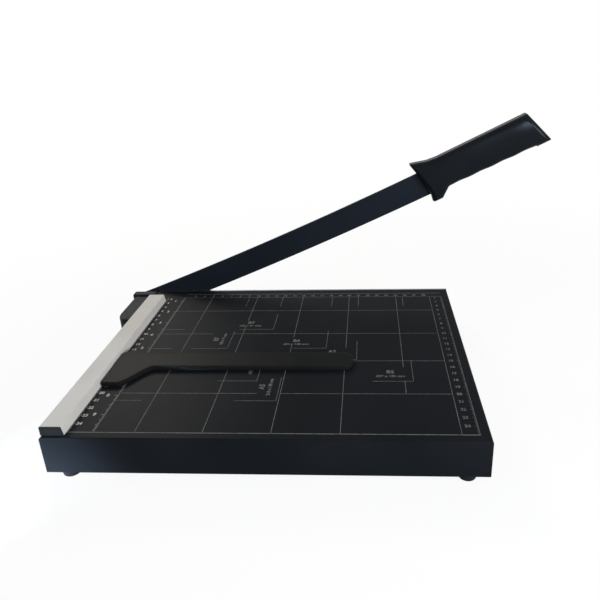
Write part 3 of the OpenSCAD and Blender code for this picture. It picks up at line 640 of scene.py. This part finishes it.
@dataclass
class PrintedScale:
    """The grid, rulers and paper marks printed on the board, in millimetres from its zero by the fence.

    Attributes:
        from_fence: from the fence's foot to the zero
        from_edge: from the board's far edge to the zero
        square: side of a grid square
        field: reach of the grid to the right and towards the user
        left_ruler: width of the ruler beside the fence
        far_ruler: the two lines of the ruler along the cut
        right_ruler: the two lines of the ruler on the right
        line: width of a grid line
        ink: thickness of the ink
        figure: height of the rulers' figures
    """

    from_fence: float = 0.36
    from_edge: float = 1.76
    square: float = 50.0
    field: Pair = (298.6, 250.0)
    left_ruler: float = 19.6
    far_ruler: Pair = (7.8, 16.6)
    right_ruler: Pair = (286.0, 298.6)
    line: float = 0.45
    ink: float = 0.03
    figure: float = 3.2

    # Millimetres in a centimetre and in an inch
    CM, INCH = 10, 25.4

    # How many divisions apart a ruler's longer lines are: millimetres, and sixteenths of an inch
    CM_STEPS, INCH_STEPS = (10, 5), (16, 8, 4)

    # Lengths of the rulers' lines, the longest first, and the share of it that the fence's centimetres have
    TICKS = (3.2, 2.4, 1.7, 1.1)
    FENCE_TICK = 0.7

    # Widths of the rulers' lines, the formats' lines and the line on the user's side, in grid lines
    FINE, MIDDLING, HEAVY = 0.5, 0.9, 1.6

    # Middles of the two rows of figures beside the fence, and the inches' height in figures
    CM_ROW, INCH_ROW = 4.4, 11.0
    INCH_FIGURE = 1.15

    # How far the other rulers' figures stand off their middle, away from the lines
    ASIDE = 1.0

    # Length of a corner's lines, and of the formats' short marks along the cut and beside the fence
    LEG, CUT_MARK, FENCE_MARK = 33.0, 23.0, 20.7

    # Sides of formats without a short mark along the cut, and beside the fence
    BARE_AT_CUT, BARE_AT_FENCE = {148}, {182}

    # Stretches of grid lines left open for the names of formats: from, to, by the line's place
    OPEN_COLUMNS = {
        100.0: (72.0, 84.0), 150.0: (107.0, 122.0), 200.0: (128.0, 142.0), 250.0: (160.0, 182.0)
    }
    OPEN_ROWS = {100.0: (71.0, 90.0), 200.0: (131.0, 150.0)}

    # Where a column of the grid ends, if that is short of the field's near side
    SHORT_COLUMNS = {250.0: 200.0}

    MARKS = (
        SheetMark("B5", 182, 257, Way.LANDSCAPE, 18.5),
        SheetMark("A5", 148, 210, Way.LANDSCAPE, 22.0),
        SheetMark("B6", 128, 182, Way.LANDSCAPE, 28.5),
        SheetMark("B7", 91, 128, Way.LANDSCAPE, 24.0),
        SheetMark("A5", 148, 210, Way.PORTRAIT, 19.5),
        SheetMark("B6", 128, 182, Way.PORTRAIT, 22.0),
        SheetMark("B7", 91, 128, Way.PORTRAIT, 17.5),
    )

    def zero(self) -> Vector:
        """Returns the scale's zero on the board, in the frame."""
        fence_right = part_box("fence")[1].x
        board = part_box("base_tray")[1]
        return Vector((fence_right + self.from_fence * MM, board.y - self.from_edge * MM, board.z))

    def build(self) -> None:
        """Prints the layers on the board."""
        for name, ink, draw in (
            ("print_grid", THIN_INK, self.grid),
            ("print_fence_ruler", HEAVY_INK, self.fence_ruler),
            ("print_rulers", THIN_INK, self.other_rulers),
            ("print_formats", THIN_INK, self.marks),
        ):
            layer = InkLayer(name, ink, self.zero(), self.ink)
            draw(layer)
            layer.piece()

    def grid(self, layer: InkLayer) -> None:
        """Draws the grid's lines, the rulers' long lines and the line on the user's side."""
        right, near = self.field
        far, left = self.far_ruler[1], self.left_ruler
        for n in range(1, round(right / self.square)):
            x = n * self.square
            end = self.SHORT_COLUMNS.get(x, near)
            gap = self.OPEN_COLUMNS.get(x, (end, end))
            layer.bar((x, far), (x, gap[0]), self.line)
            if gap[1] < end:
                layer.bar((x, gap[1]), (x, end), self.line)
        for n in range(1, round(near / self.square)):
            y = n * self.square
            gap = self.OPEN_ROWS.get(y, (self.right_ruler[0], self.right_ruler[0]))
            layer.bar((left, y), (gap[0], y), self.line)
            if gap[1] < self.right_ruler[0]:
                layer.bar((gap[1], y), (self.right_ruler[0], y), self.line)
        for x in (left, *self.right_ruler):
            layer.bar((x, far), (x, near), self.line)
        for y in self.far_ruler:
            layer.bar((left, y), (right, y), self.line)
        layer.bar((0, near), (right, near), self.HEAVY * self.line)

    def tick(self, division: int, steps: Sequence[int]) -> float:
        """Returns the length of a division's line, where the longer lines are some steps apart."""
        rank = next((k for k, step in enumerate(steps) if division % step == 0), len(steps))
        return self.TICKS[len(self.TICKS) - 1 - len(steps) + rank]

    def fence_ruler(self, layer: InkLayer) -> None:
        """Draws the ruler beside the fence: centimetres at the fence and inches at the grid."""
        far, near = self.far_ruler[1], self.field[1]
        width = self.FINE * self.line
        for mm in range(round(far), round(near)):
            layer.bar((0, mm), (self.FENCE_TICK * self.tick(mm, self.CM_STEPS), mm), width)
        part = self.INCH / self.INCH_STEPS[0]
        for n in range(math.ceil(far / part), int(near / part)):
            start = self.left_ruler - self.tick(n, self.INCH_STEPS)
            layer.bar((start, n * part), (self.left_ruler, n * part), width)
        for cm in range(2, math.ceil(near / self.CM)):
            layer.letters(str(cm), (self.CM_ROW, self.CM * cm), self.figure)
        for inch in range(1, math.ceil(near / self.INCH)):
            layer.letters(str(inch), (self.INCH_ROW, self.INCH * inch), self.INCH_FIGURE * self.figure)

    def other_rulers(self, layer: InkLayer) -> None:
        """Draws the centimetre rulers along the cut and on the right."""
        right, near = self.field
        start = self.far_ruler[0]
        width = self.FINE * self.line
        for mm in range(round(self.far_ruler[1]), round(near)):
            layer.bar((right - self.tick(mm, self.CM_STEPS), mm), (right, mm), width)
        for mm in range(round(self.left_ruler), round(right)):
            layer.bar((mm, start), (mm, start + self.tick(mm, self.CM_STEPS)), width)
        column = sum(self.right_ruler) / 2 - self.ASIDE
        for cm in range(2, math.ceil(near / self.CM)):
            layer.letters(str(cm), (column, self.CM * cm), self.figure)
        row = sum(self.far_ruler) / 2 + self.ASIDE
        for cm in range(3, round(self.right_ruler[0] / self.CM)):
            layer.letters(str(cm), (self.CM * cm, row), self.figure)

    def marks(self, layer: InkLayer) -> None:
        """Draws the paper formats' corners, and their short marks on the rulers."""
        width = self.MIDDLING * self.line
        far, left = self.far_ruler[1], self.left_ruler
        for mark in self.MARKS:
            mark.draw(layer, self.LEG, width)
        columns, rows = zip(*(mark.place(mark.long, mark.short) for mark in self.MARKS))
        for x in sorted(set(columns) - self.BARE_AT_CUT):
            layer.bar((x, far), (x, far + self.CUT_MARK), width)
        for y in sorted(set(rows) - self.BARE_AT_FENCE):
            layer.bar((left, y), (left + self.FENCE_MARK, y), width)


def pivot() -> Pair:
    """Returns the X and the Z of the arm's pivot, in the frame."""
    swing = next(j for j in frame["joints"] if j["name"] == "arm_swing")
    x, _, z = swing["pos_m"]
    return x, z


def on_arm() -> Matrix:
    """Returns the move from the raised arm's plane, in millimetres, to the frame.

    X runs along the arm from the pivot, Y across it, away from the cut, and Z from its far face to the user.
    """
    x, z = pivot()
    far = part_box("blade_arm")[1].y
    rise = math.radians(ARM_RAISED)
    axes = Matrix((
        (math.cos(rise), -math.sin(rise), 0, 0),
        (0, 0, -1, 0),
        (math.sin(rise), math.cos(rise), 0, 0),
        (0, 0, 0, 1),
    ))
    return Matrix.Translation((x, far, z)) @ axes @ Matrix.Diagonal((MM, MM, MM, 1))


@dataclass
class BladeArm:
    """The curved steel arm: a round root on the pivot, a long blade and a bevel ground on its far side.

    Attributes:
        length: from the pivot to the blade's end inside the handle
        width: width of the arm
        thickness: its thickness
        sag: how far its middle bows down from the straight line
        bevel: width of the ground bevel
        edge: thickness left at the cutting edge
        bevel_start: where the bevel begins, from the pivot
        soft: rounding of its long edges
    """

    length: float = 343.6
    width: float = 26.0
    thickness: float = 2.5
    sag: float = 3.1
    bevel: float = 4.5
    edge: float = 0.3
    bevel_start: float = 28.0
    soft: float = 0.35

    ROOT_POINTS, SIDE_POINTS, BEVEL_POINTS = 33, 58, 90

    # The bevel's points stop this far short of the blade's end, and its faces' normals lie below this
    END_GAP, FACING_AWAY = 1, -0.5

    def radius(self) -> float:
        """Returns the radius of the arm's bow."""
        return (self.length ** 2 / 4 + self.sag ** 2) / (2 * self.sag)

    def bow(self, x: Array, side: float) -> Array:
        """Returns the heights along the arm of the line that lies this far from its middle, to its back."""
        radius = self.radius()
        centre = radius - self.sag
        return centre - np.sqrt((radius - side) ** 2 - (x - self.length / 2) ** 2)

    def outline(self) -> Array:
        """Returns the arm's edge, anticlockwise from the root's lower side."""
        half = self.width / 2
        lean = math.asin(self.length / 2 / self.radius())
        root = np.linspace(math.pi / 2 - lean, 3 * math.pi / 2 - lean, self.ROOT_POINTS)[1:-1]
        along = np.linspace(-half * math.sin(lean), self.length, self.SIDE_POINTS)
        low = np.column_stack([along, self.bow(along, -half)])
        back = np.column_stack([along, self.bow(along, half)])[::-1]
        return np.concatenate([low, back, half * np.column_stack([np.cos(root), np.sin(root)])])

    def above_edge(self, points: Array) -> Array:
        """Returns how far points are above the cutting edge."""
        return points[:, 1] - self.bow(points[:, 0], -self.width / 2)

    def near_face(self, points: Array, depth: Array) -> Array:
        """Returns the height of the face towards the user: flat, with soft edges away from the cut."""
        cutting = (points[:, 0] > self.bevel_start) & (self.above_edge(points) < self.width / 2)
        return self.thickness - np.where(cutting, 0, drop(depth, self.soft))

    def far_face(self, points: Array, depth: Array) -> Array:
        """Returns the height of the far face, ground down to the cutting edge."""
        share = np.clip(1 - self.above_edge(points) / self.bevel, 0, 1)
        ground = (self.thickness - self.edge) * share * smooth_step(
            points[:, 0], self.bevel_start - self.bevel, self.bevel_start
        )
        return np.maximum(ground, drop(depth, self.soft))

    def build(self) -> None:
        """Makes the arm in place of its CAD solid, its bevel bare and the rest blacked."""
        start, end = self.bevel_start - self.bevel, self.length - self.END_GAP
        along = np.linspace(start, end, self.BEVEL_POINTS)
        half = self.width / 2
        rows = [
            np.column_stack([along, self.bow(along, self.bevel * k / 2 - half)]) for k in (1, 2)
        ]
        insets = (0.12, self.soft, 2, 6, 12)
        ground = [tuple(p) for p in np.concatenate(rows)]
        plate = Plate(self.outline(), insets, self.near_face, self.far_face, ground)
        mesh = plate.mesh("arm_blade", Matrix.Identity(4))
        for face in mesh.polygons:
            middle = np.array([tuple(face.center)[:2]])
            low = self.above_edge(middle)[0] < self.bevel
            if face.normal.z < self.FACING_AWAY and low and middle[0, 0] > self.bevel_start:
                face.material_index = 1
        mesh.transform(on_arm())
        piece = shown(mesh, "arm", "blackened_blade", BLACKED_STEEL, GROUND_BEVEL)
        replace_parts(piece, "blade_arm")


@dataclass
class Handle:
    """The two moulded halves of the handle, drawn on the arm's plane from the notch where the blade enters.

    Attributes:
        notch: from the pivot to the notch
        length: length of the handle
        half: thickness of one half
        blade: width of the blade that it grips
        soft: rounding of the halves' outer edges
        groove: rounding of the edges where the halves meet
        crown: how far the grip's face bulges
        crown_at: the bulge's middle across the handle, and half its width
        swell: how far the face swells near its end
        pommel: the swelling's middle, along the handle and across it
        pommel_reach: how far the swelling reaches, along and across
        top: height of the grip's back at its front, and its rise to the end
        under: depth of the grip's underside at its front, and its rise to the end
        grip_front: where the grip's underside begins
        scallops: finger scallops, and their depth
        heel: length of the plain heel, its step below the scallops, the step's run and the heel's rise
        slants: how far the front and the end lean back
        guard: depth of the finger guard below the arm, its foot from and to, and the foot's rise
        guard_soft: roundings of the foot's front and back and of the guard's root
        saddle: the dip behind the spur, from and to, and its rise towards the spur
        saddle_soft: rounding of the dip's ends
        spur: height of the spur above the arm, and how far it stands out over the notch
        fine_soft: roundings of the heel's step, the end's corners and the spur's tip
        screws: how many screws hold the halves
        well: radius and depth of a screw's well
    """

    notch: float = 333.6
    length: float = 134.2
    half: float = 10.0
    blade: float = 26.0
    soft: float = 4.5
    groove: float = 0.35
    crown: float = 1.1
    crown_at: Pair = (5.0, 17.0)
    swell: float = 0.9
    pommel: Pair = (114.0, 12.5)
    pommel_reach: Pair = (18.0, 14.0)
    top: Pair = (20.3, 4.0)
    under: Pair = (12.4, 3.0)
    grip_front: float = 25.7
    scallops: tuple[int, float] = (4, 0.55)
    heel: Four = (15.7, 1.2, 0.9, 0.9)
    slants: Pair = (5.5, 13.9)
    guard: Four = (22.3, 4.4, 15.6, 0.5)
    guard_soft: Triple = (2.5, 2.6, 2.9)
    saddle: Triple = (14.3, 24.3, 0.6)
    saddle_soft: float = 12.0
    spur: Pair = (25.2, 3.6)
    fine_soft: Triple = (0.4, 0.9, 0.8)
    screws: int = 3
    well: Pair = (3.35, 5.2)

    SCALLOP_POINTS, LONGEST_SIDE = 20, 5

    # Radii of the rings of points round a screw's well, and the points in a ring
    WELL_RINGS, RING_POINTS = (3.3, 3.5, 4.2), 32

    def outline(self) -> Array:
        """Returns the handle's edge, anticlockwise from the finger guard."""
        heel, step, step_run, heel_rise = self.heel
        grip_from, grip_to = self.grip_front, self.length - heel
        count, deep = self.scallops
        front_slant, end_slant = self.slants
        neck = (front_slant, -self.blade / 2, 0)
        guard_deep, foot_from, foot_to, foot_rise = self.guard
        toe_soft, foot_soft, root_soft = self.guard_soft
        guard = rounded([
            neck,
            (foot_from, -guard_deep, toe_soft),
            (foot_to, foot_rise - guard_deep, foot_soft),
            (grip_from, -self.under[0], root_soft),
            (grip_to, -self.under[0], 0),
        ])
        share = np.linspace(0, 1, self.SCALLOP_POINTS * count + 1)[1:]
        wave = deep * (1 - np.cos(2 * math.pi * count * share)) / 2
        rise = self.under[1] * share - self.under[0] + wave
        underside = list(zip(grip_from + (grip_to - grip_from) * share, rise))
        heel_low = self.under[1] - self.under[0] - step
        dip_from, dip_to, dip_rise = self.saddle
        spur_high, spur_reach = self.spur
        step_soft, end_soft, tip_soft = self.fine_soft
        back = rounded([
            (grip_to + step_run, heel_low, step_soft),
            (self.length, heel_low + heel_rise, end_soft),
            (self.length - end_slant, sum(self.top), end_soft),
            (dip_to, self.top[0], self.saddle_soft),
            (dip_from, self.top[0] + dip_rise, self.saddle_soft),
            (-spur_reach, spur_high, tip_soft),
            (0, self.blade / 2, 0),
            neck,
        ])
        edge = guard[:-1] + underside + back[:-1]
        return with_short_sides(edge, self.LONGEST_SIDE) + (self.notch, 0)

    def face(self, points: Array, depth: Array) -> Array:
        """Returns the height of a half's outer face: crowned across, swelling to its end, with soft edges."""
        middle, half_width = self.crown_at
        across = (points[:, 1] - middle) / half_width
        bulge = self.crown * np.clip(1 - across ** 2, -1, 1)
        away = (points - (self.notch, 0) - self.pommel) / self.pommel_reach
        pommel = self.swell * np.exp(-(away ** 2).sum(1))
        full = self.half - self.crown - self.swell
        return full + bulge + pommel - drop(depth, self.soft)

    def parting(self, points: Array, depth: Array) -> Array:
        """Returns the height of a half's inner face, with a fine groove where the halves meet."""
        return drop(depth, self.groove)

    def screw_places(self) -> list[Vector]:
        """Returns the middles of the screws on the arm's plane, from their CAD solid."""
        corners = [on_arm().inverted() @ v.co for v in frame["nodes"]["handle_screws"].data.vertices]
        along = sorted(c.x for c in corners)
        first, last = along[0], along[-1]
        across = [c.y for c in corners]
        middle = (min(across) + max(across)) / 2
        wide = max(across) - min(across)
        step = (last - first - wide) / (self.screws - 1)
        return [Vector((first + wide / 2 + step * k, middle)) for k in range(self.screws)]

    def far_face(self, points: Array, depth: Array) -> Array:
        """Returns the height of the far half's outer face, with its screws' wells."""
        height = self.face(points, depth)
        radius, deep = self.well
        for place in self.screw_places():
            away = np.hypot(points[:, 0] - place.x, points[:, 1] - place.y)
            height = np.where(away < radius, self.half - deep, height)
        return height

    def well_points(self) -> list[Pair]:
        """Returns points round the brim and the foot of each screw's well."""
        turns = np.linspace(0, 2 * math.pi, self.RING_POINTS, endpoint=False)
        return [
            (place.x + radius * math.cos(t), place.y + radius * math.sin(t))
            for place in self.screw_places()
            for radius in self.WELL_RINGS
            for t in turns
        ]

    def build(self) -> None:
        """Makes the two halves in place of their CAD solids."""
        middle = BladeArm().thickness / 2
        insets = (0.12, 0.4, 0.8, 1.3, 1.9, 2.6, 3.5, self.soft, 6, 8, 10, 13)
        outline = self.outline()
        near = Plate(outline, insets, self.face, self.parting)
        far = Plate(outline, insets, self.far_face, self.parting, self.well_points())
        raised = on_arm() @ Matrix.Translation((0, 0, middle))
        for name, node, plate, side in (
            ("handle_shell_near", "handle_inner", near, 1),
            ("handle_shell_far", "handle_outer", far, -1),
        ):
            mesh = plate.mesh(name, raised @ Matrix.Diagonal((1, 1, side, 1)))
            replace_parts(shown(mesh, "arm", "black_plastic", MOULDED_ABS), node)


@dataclass
class PaperStop:
    """The T-shaped stop that lies on the board against the fence.

    Attributes:
        width: width of its bar
        head: width of its head, before the sweep into the bar
        sweep: length of the curve between head and bar
        above: how far the head stands past the bar's far side
        chamfer: slanted corner of the head
        corner: rounding of the head's corners
        tip: rounding of the bar's tip
        soft: rounding of its upper edges
        relief: rounding of its lower edges
        crown: how far its upper face bulges
        fall: how far the head falls below the bar's sides, in crowns
    """

    width: float = 23.9
    head: float = 12.9
    sweep: float = 24.3
    above: float = 4.3
    chamfer: float = 6.4
    corner: float = 1.4
    tip: float = 9.0
    soft: float = 1.1
    relief: float = 0.3
    crown: float = 0.25
    fall: float = 0.3

    SWEEP_STEPS, LONGEST_SIDE = 20, 6

    def outline(self, size: Vector) -> Array:
        """Returns the plan of a stop of this size, anticlockwise from its near left corner."""
        far = size.y - self.above
        near = far - self.width
        shares = [k / self.SWEEP_STEPS for k in range(self.SWEEP_STEPS + 1)]
        wave = [(t, (1 - math.cos(math.pi * t)) / 2) for t in shares]
        swept = [(self.head + self.sweep * t, near * s) for t, s in wave]
        tip = rounded([
            (self.head + self.sweep, near, 0),
            (size.x, near, self.tip),
            (size.x, far, self.tip),
            (2 * self.head, far, 0),
        ])
        back = [
            (2 * self.head + (self.chamfer - 2 * self.head) * t, far + self.above * s) for t, s in wave
        ]
        head = rounded([
            (self.chamfer, size.y, 0),
            (0, size.y - self.chamfer, self.corner),
            (0, 0, self.corner),
            (self.head, 0, 0),
        ])
        return with_short_sides(swept + tip[1:-1] + back + head[1:-1], self.LONGEST_SIDE)

    def build(self) -> None:
        """Makes the stop in place of its CAD solid."""
        low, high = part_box("paper_stop")
        size = (high - low) / MM
        middle = size.y - self.above - self.width / 2

        def upper(points: Array, depth: Array) -> Array:
            """Returns the height of the crowned upper face."""
            across = (points[:, 1] - middle) / (self.width / 2)
            bulge = self.crown * np.clip(1 - across ** 2, -self.fall, 1)
            return size.z - self.crown + bulge - drop(depth, self.soft)

        def lower(points: Array, depth: Array) -> Array:
            """Returns the height of the flat underside, with a fine relief at its edge."""
            return drop(depth, self.relief)

        insets = (0.08, 0.25, 0.5, 0.9, self.soft, 3, 5.5, 8.5, 11)
        plate = Plate(self.outline(size), insets, upper, lower)
        mesh = plate.mesh("stop_moulding", Matrix.Translation(low) @ Matrix.Diagonal((MM, MM, MM, 1)))
        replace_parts(shown(mesh, "stop", "black_plastic", MATT_ABS), "paper_stop")


@dataclass
class PivotSpring:
    """The compression spring on the pivot bolt.

    Attributes:
        wire: thickness of its wire
        turns: how many turns it has
        steps: rings of points in a turn
        sides: points in a ring
    """

    wire: float = 1.8
    turns: int = 5
    steps: int = 28
    sides: int = 10

    def build(self) -> None:
        """Winds the spring in place of its CAD solid."""
        low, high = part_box("pivot_spring")
        axis_x, axis_z = pivot()
        wire = self.wire * MM / 2
        radius = (high.z - low.z) / 2 - wire
        pitch = (high.y - low.y - 2 * wire) / self.turns
        slope = math.atan2(pitch, 2 * math.pi * radius)
        count = self.turns * self.steps
        ring = range(self.sides)
        points = []
        for k in range(count + 1):
            turn = 2 * math.pi * k / self.steps
            outward = Vector((math.cos(turn), 0, math.sin(turn)))
            forward = Vector((-math.sin(turn), -math.tan(slope), math.cos(turn))).normalized()
            middle = Vector((axis_x, high.y - wire - pitch * k / self.steps, axis_z)) + outward * radius
            upward = forward.cross(outward)
            for s in ring:
                side = 2 * math.pi * s / self.sides
                points.append(middle + wire * (math.cos(side) * outward + math.sin(side) * upward))
        last = count * self.sides
        faces = []
        for here in range(0, last, self.sides):
            there = here + self.sides
            for s in ring:
                beside = (s + 1) % self.sides
                faces.append((here + s, here + beside, there + beside, there + s))
        faces += [tuple(reversed(ring)), tuple(last + s for s in ring)]
        mesh = bpy.data.meshes.new("spring_coil")
        mesh.from_pydata(points, [], faces)
        mesh.shade_smooth()
        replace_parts(shown(mesh, "arm", "spring_steel", SPRING_WIRE), "pivot_spring")


class CadDressing:
    """Gives each CAD solid that shows its finish."""

    def build(self) -> None:
        """Puts the finishes in the solids' material slots."""
        for finish, nodes in CAD_FINISHES.items():
            for name in nodes:
                solid = frame["nodes"][name]
                solid.data.materials.clear()
                solid.data.materials.append(finish.material())
                LOG.info("%s: %s", name, finish.name)


@dataclass(frozen=True)
class PaleFloor:
    """A pale matt floor that fades to white away from the object.

    Attributes:
        name: name of its material
        colour: its colour near the object
        roughness: how far highlights spread
        gloss: strength of the surface reflection
        fade: where it starts to turn white and where it is white, in metres from the object
        veil: share of white over the nearest floor, which thins the shadow there
    """

    name: str = "pale_studio_floor"
    colour: str = "#f4f4f3"
    roughness: float = 0.9
    gloss: float = 0.1
    fade: Pair = (0.3, 0.8)
    veil: float = 0.9

    def material(self) -> bpy.types.Material:
        """Returns the floor's new material."""
        material = bpy.data.materials.new(self.name)
        material.use_nodes = True
        tree = material.node_tree
        shader = tree.nodes["Principled BSDF"]
        feed(tree, shader, {
            "Base Color": linear(self.colour), "Roughness": self.roughness, "Specular IOR Level": self.gloss,
        })
        place = add_node(tree, "TexCoord").outputs["Object"]
        away = add_node(tree, "VectorMath", {0: place}, operation="LENGTH").outputs["Value"]
        far = remap(tree, away, *self.fade, low=self.veil, rise="SMOOTHSTEP")
        share = combine(tree, "MULTIPLY", far, seen_directly(tree))
        white = add_node(tree, "Emission", {"Strength": 1.0}).outputs["Emission"]
        mixed = add_node(tree, "MixShader", {0: share, 1: shader.outputs["BSDF"], 2: white}).outputs["Shader"]
        feed(tree, tree.nodes["Material Output"], {"Surface": mixed})
        return material


def seen_directly(tree: Tree) -> Socket:
    """Returns 1 for rays that show the background: from the camera, by reflection or through glass."""
    path = add_node(tree, "LightPath").outputs
    mirrored = combine(tree, "MAXIMUM", path["Is Glossy Ray"], path["Is Transmission Ray"])
    return combine(tree, "MAXIMUM", path["Is Camera Ray"], mirrored)


@dataclass(frozen=True)
class SoftBox:
    """A rectangular studio lamp.

    Attributes:
        name: its name
        place: where it stands, in metres
        aim: the point it faces
        size: its width and height
        power: in watts
        colour: the colour of its light
        spread: how wide its beam fans out, in degrees
    """

    name: str
    place: Triple
    aim: Triple
    size: Pair
    power: float
    colour: str
    spread: float = 180.0

    def build(self) -> None:
        """Sets the lamp up."""
        lamp = bpy.data.lights.new(self.name, "AREA")
        lamp.shape = "RECTANGLE"
        lamp.size, lamp.size_y = self.size
        lamp.energy = self.power
        lamp.spread = math.radians(self.spread)
        lamp.color = linear(self.colour)[:3]
        holder = put(self.name, lamp)
        holder.location = self.place
        facing = Vector(self.aim) - Vector(self.place)
        holder.rotation_euler = facing.to_track_quat("-Z", "Y").to_euler()


@dataclass
class Studio:
    """The pale floor, the lamps, the white background and the camera at the photograph's place.

    Attributes:
        eye: the camera's place from the board's far right corner, in metres
        turn: its heading, its dip below level and its lean, in degrees
        focus: its focal length in pixels of the photograph
        axis: where its axis meets the photograph, in pixels
        photo: the photograph's side, in pixels
        ambient: strength of the light from all round
        reach: how far the floor reaches each way, in metres
    """

    eye: Triple = (-0.0851, -0.590064, 0.262479)
    turn: Triple = (-3.57, 21.55, -1.86)
    focus: float = 579.0
    axis: Pair = (335.3, 265.9)
    photo: float = 600.0
    ambient: float = 0.36
    reach: float = 12.0

    LAMPS = (
        SoftBox("key_back_left", (-0.78, 1.12, 0.92), (-0.12, 0.0, 0.03), (0.5, 0.4), 10.5, "#fff6ea"),
        SoftBox("overhead", (0.3, 0.2, 1.25), (0.0, 0.0, 0.0), (1.0, 1.0), 1.4, "#fffdf8"),
        SoftBox("side_right", (0.9, -0.7, 0.33), (-0.18, -0.1, 0.03), (0.5, 0.4), 10.0, "#fffaf4"),
        SoftBox("fill_left", (-1.2, -0.8, 0.4), (-0.05, 0.0, 0.05), (0.6, 0.5), 5.5, "#c8dcf8"),
        SoftBox("front_right", (0.37, -0.61, 0.26), (0.2, 0.12, 0.2), (0.1, 0.1), 2.0, "#c4d8f8"),
        SoftBox(
            "accent_left", (-1.0, -1.3, 0.1), (-0.22, -0.137, -0.008), (0.02, 0.02), 0.24, "#d0e0f6", 6.0
        ),
    )

    def build(self) -> None:
        """Sets up the floor, the lamps, the world and the camera."""
        self.floor()
        for lamp in self.LAMPS:
            lamp.build()
        self.world()
        self.camera()
        bpy.context.scene.view_settings.view_transform = "Standard"

    def floor(self) -> None:
        """Lays the floor under the feet."""
        mesh = bpy.data.meshes.new("floor")
        corners = [(x * self.reach, y * self.reach, 0) for x, y in ((-1, -1), (1, -1), (1, 1), (-1, 1))]
        mesh.from_pydata(corners, [], [(0, 1, 2, 3)])
        mesh.materials.append(PaleFloor().material())
        floor = put("floor", mesh)

    def world(self) -> None:
        """Makes a white background that lights the object no more than plain ambient light."""
        world = bpy.data.worlds.new("studio")
        bpy.context.scene.world = world
        world.use_nodes = True
        tree = world.node_tree
        strength = remap(tree, seen_directly(tree), 0.0, 1.0, low=self.ambient)
        feed(tree, tree.nodes["Background"], {"Color": linear("#ffffff"), "Strength": strength})

    def camera(self) -> None:
        """Puts the camera where the photograph was taken."""
        heading, dip, lean = (math.radians(a) for a in self.turn)
        ahead = Vector((
            math.sin(heading) * math.cos(dip), math.cos(heading) * math.cos(dip), -math.sin(dip)
        ))
        level = Vector((math.cos(heading), -math.sin(heading), 0))
        upright = level.cross(ahead)
        right = math.cos(lean) * level + math.sin(lean) * upright
        up = math.cos(lean) * upright - math.sin(lean) * level
        lens = bpy.data.cameras.new("camera")
        lens.sensor_width = 36.0
        lens.lens = lens.sensor_width * self.focus / self.photo
        lens.shift_x = (self.photo / 2 - self.axis[0]) / self.photo
        lens.shift_y = (self.axis[1] - self.photo / 2) / self.photo
        lens.clip_start = 0.01
        camera = put("camera", lens)
        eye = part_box("base_tray")[1] + Vector(self.eye)
        camera.matrix_world = Matrix.Translation(eye) @ Matrix((right, up, -ahead)).transposed().to_4x4()
        bpy.context.scene.camera = camera


def main() -> None:
    """Dresses the cutter: studio first, then the solids, then the modelled pieces."""
    logging.basicConfig(level=logging.INFO, format="%(message)s")
    for part in (Studio(), CadDressing(), PrintedScale(), BladeArm(), Handle(), PaperStop(), PivotSpring()):
        part.build()
        LOG.info("%s done", type(part).__name__)


if __name__ == "__main__":
    main()
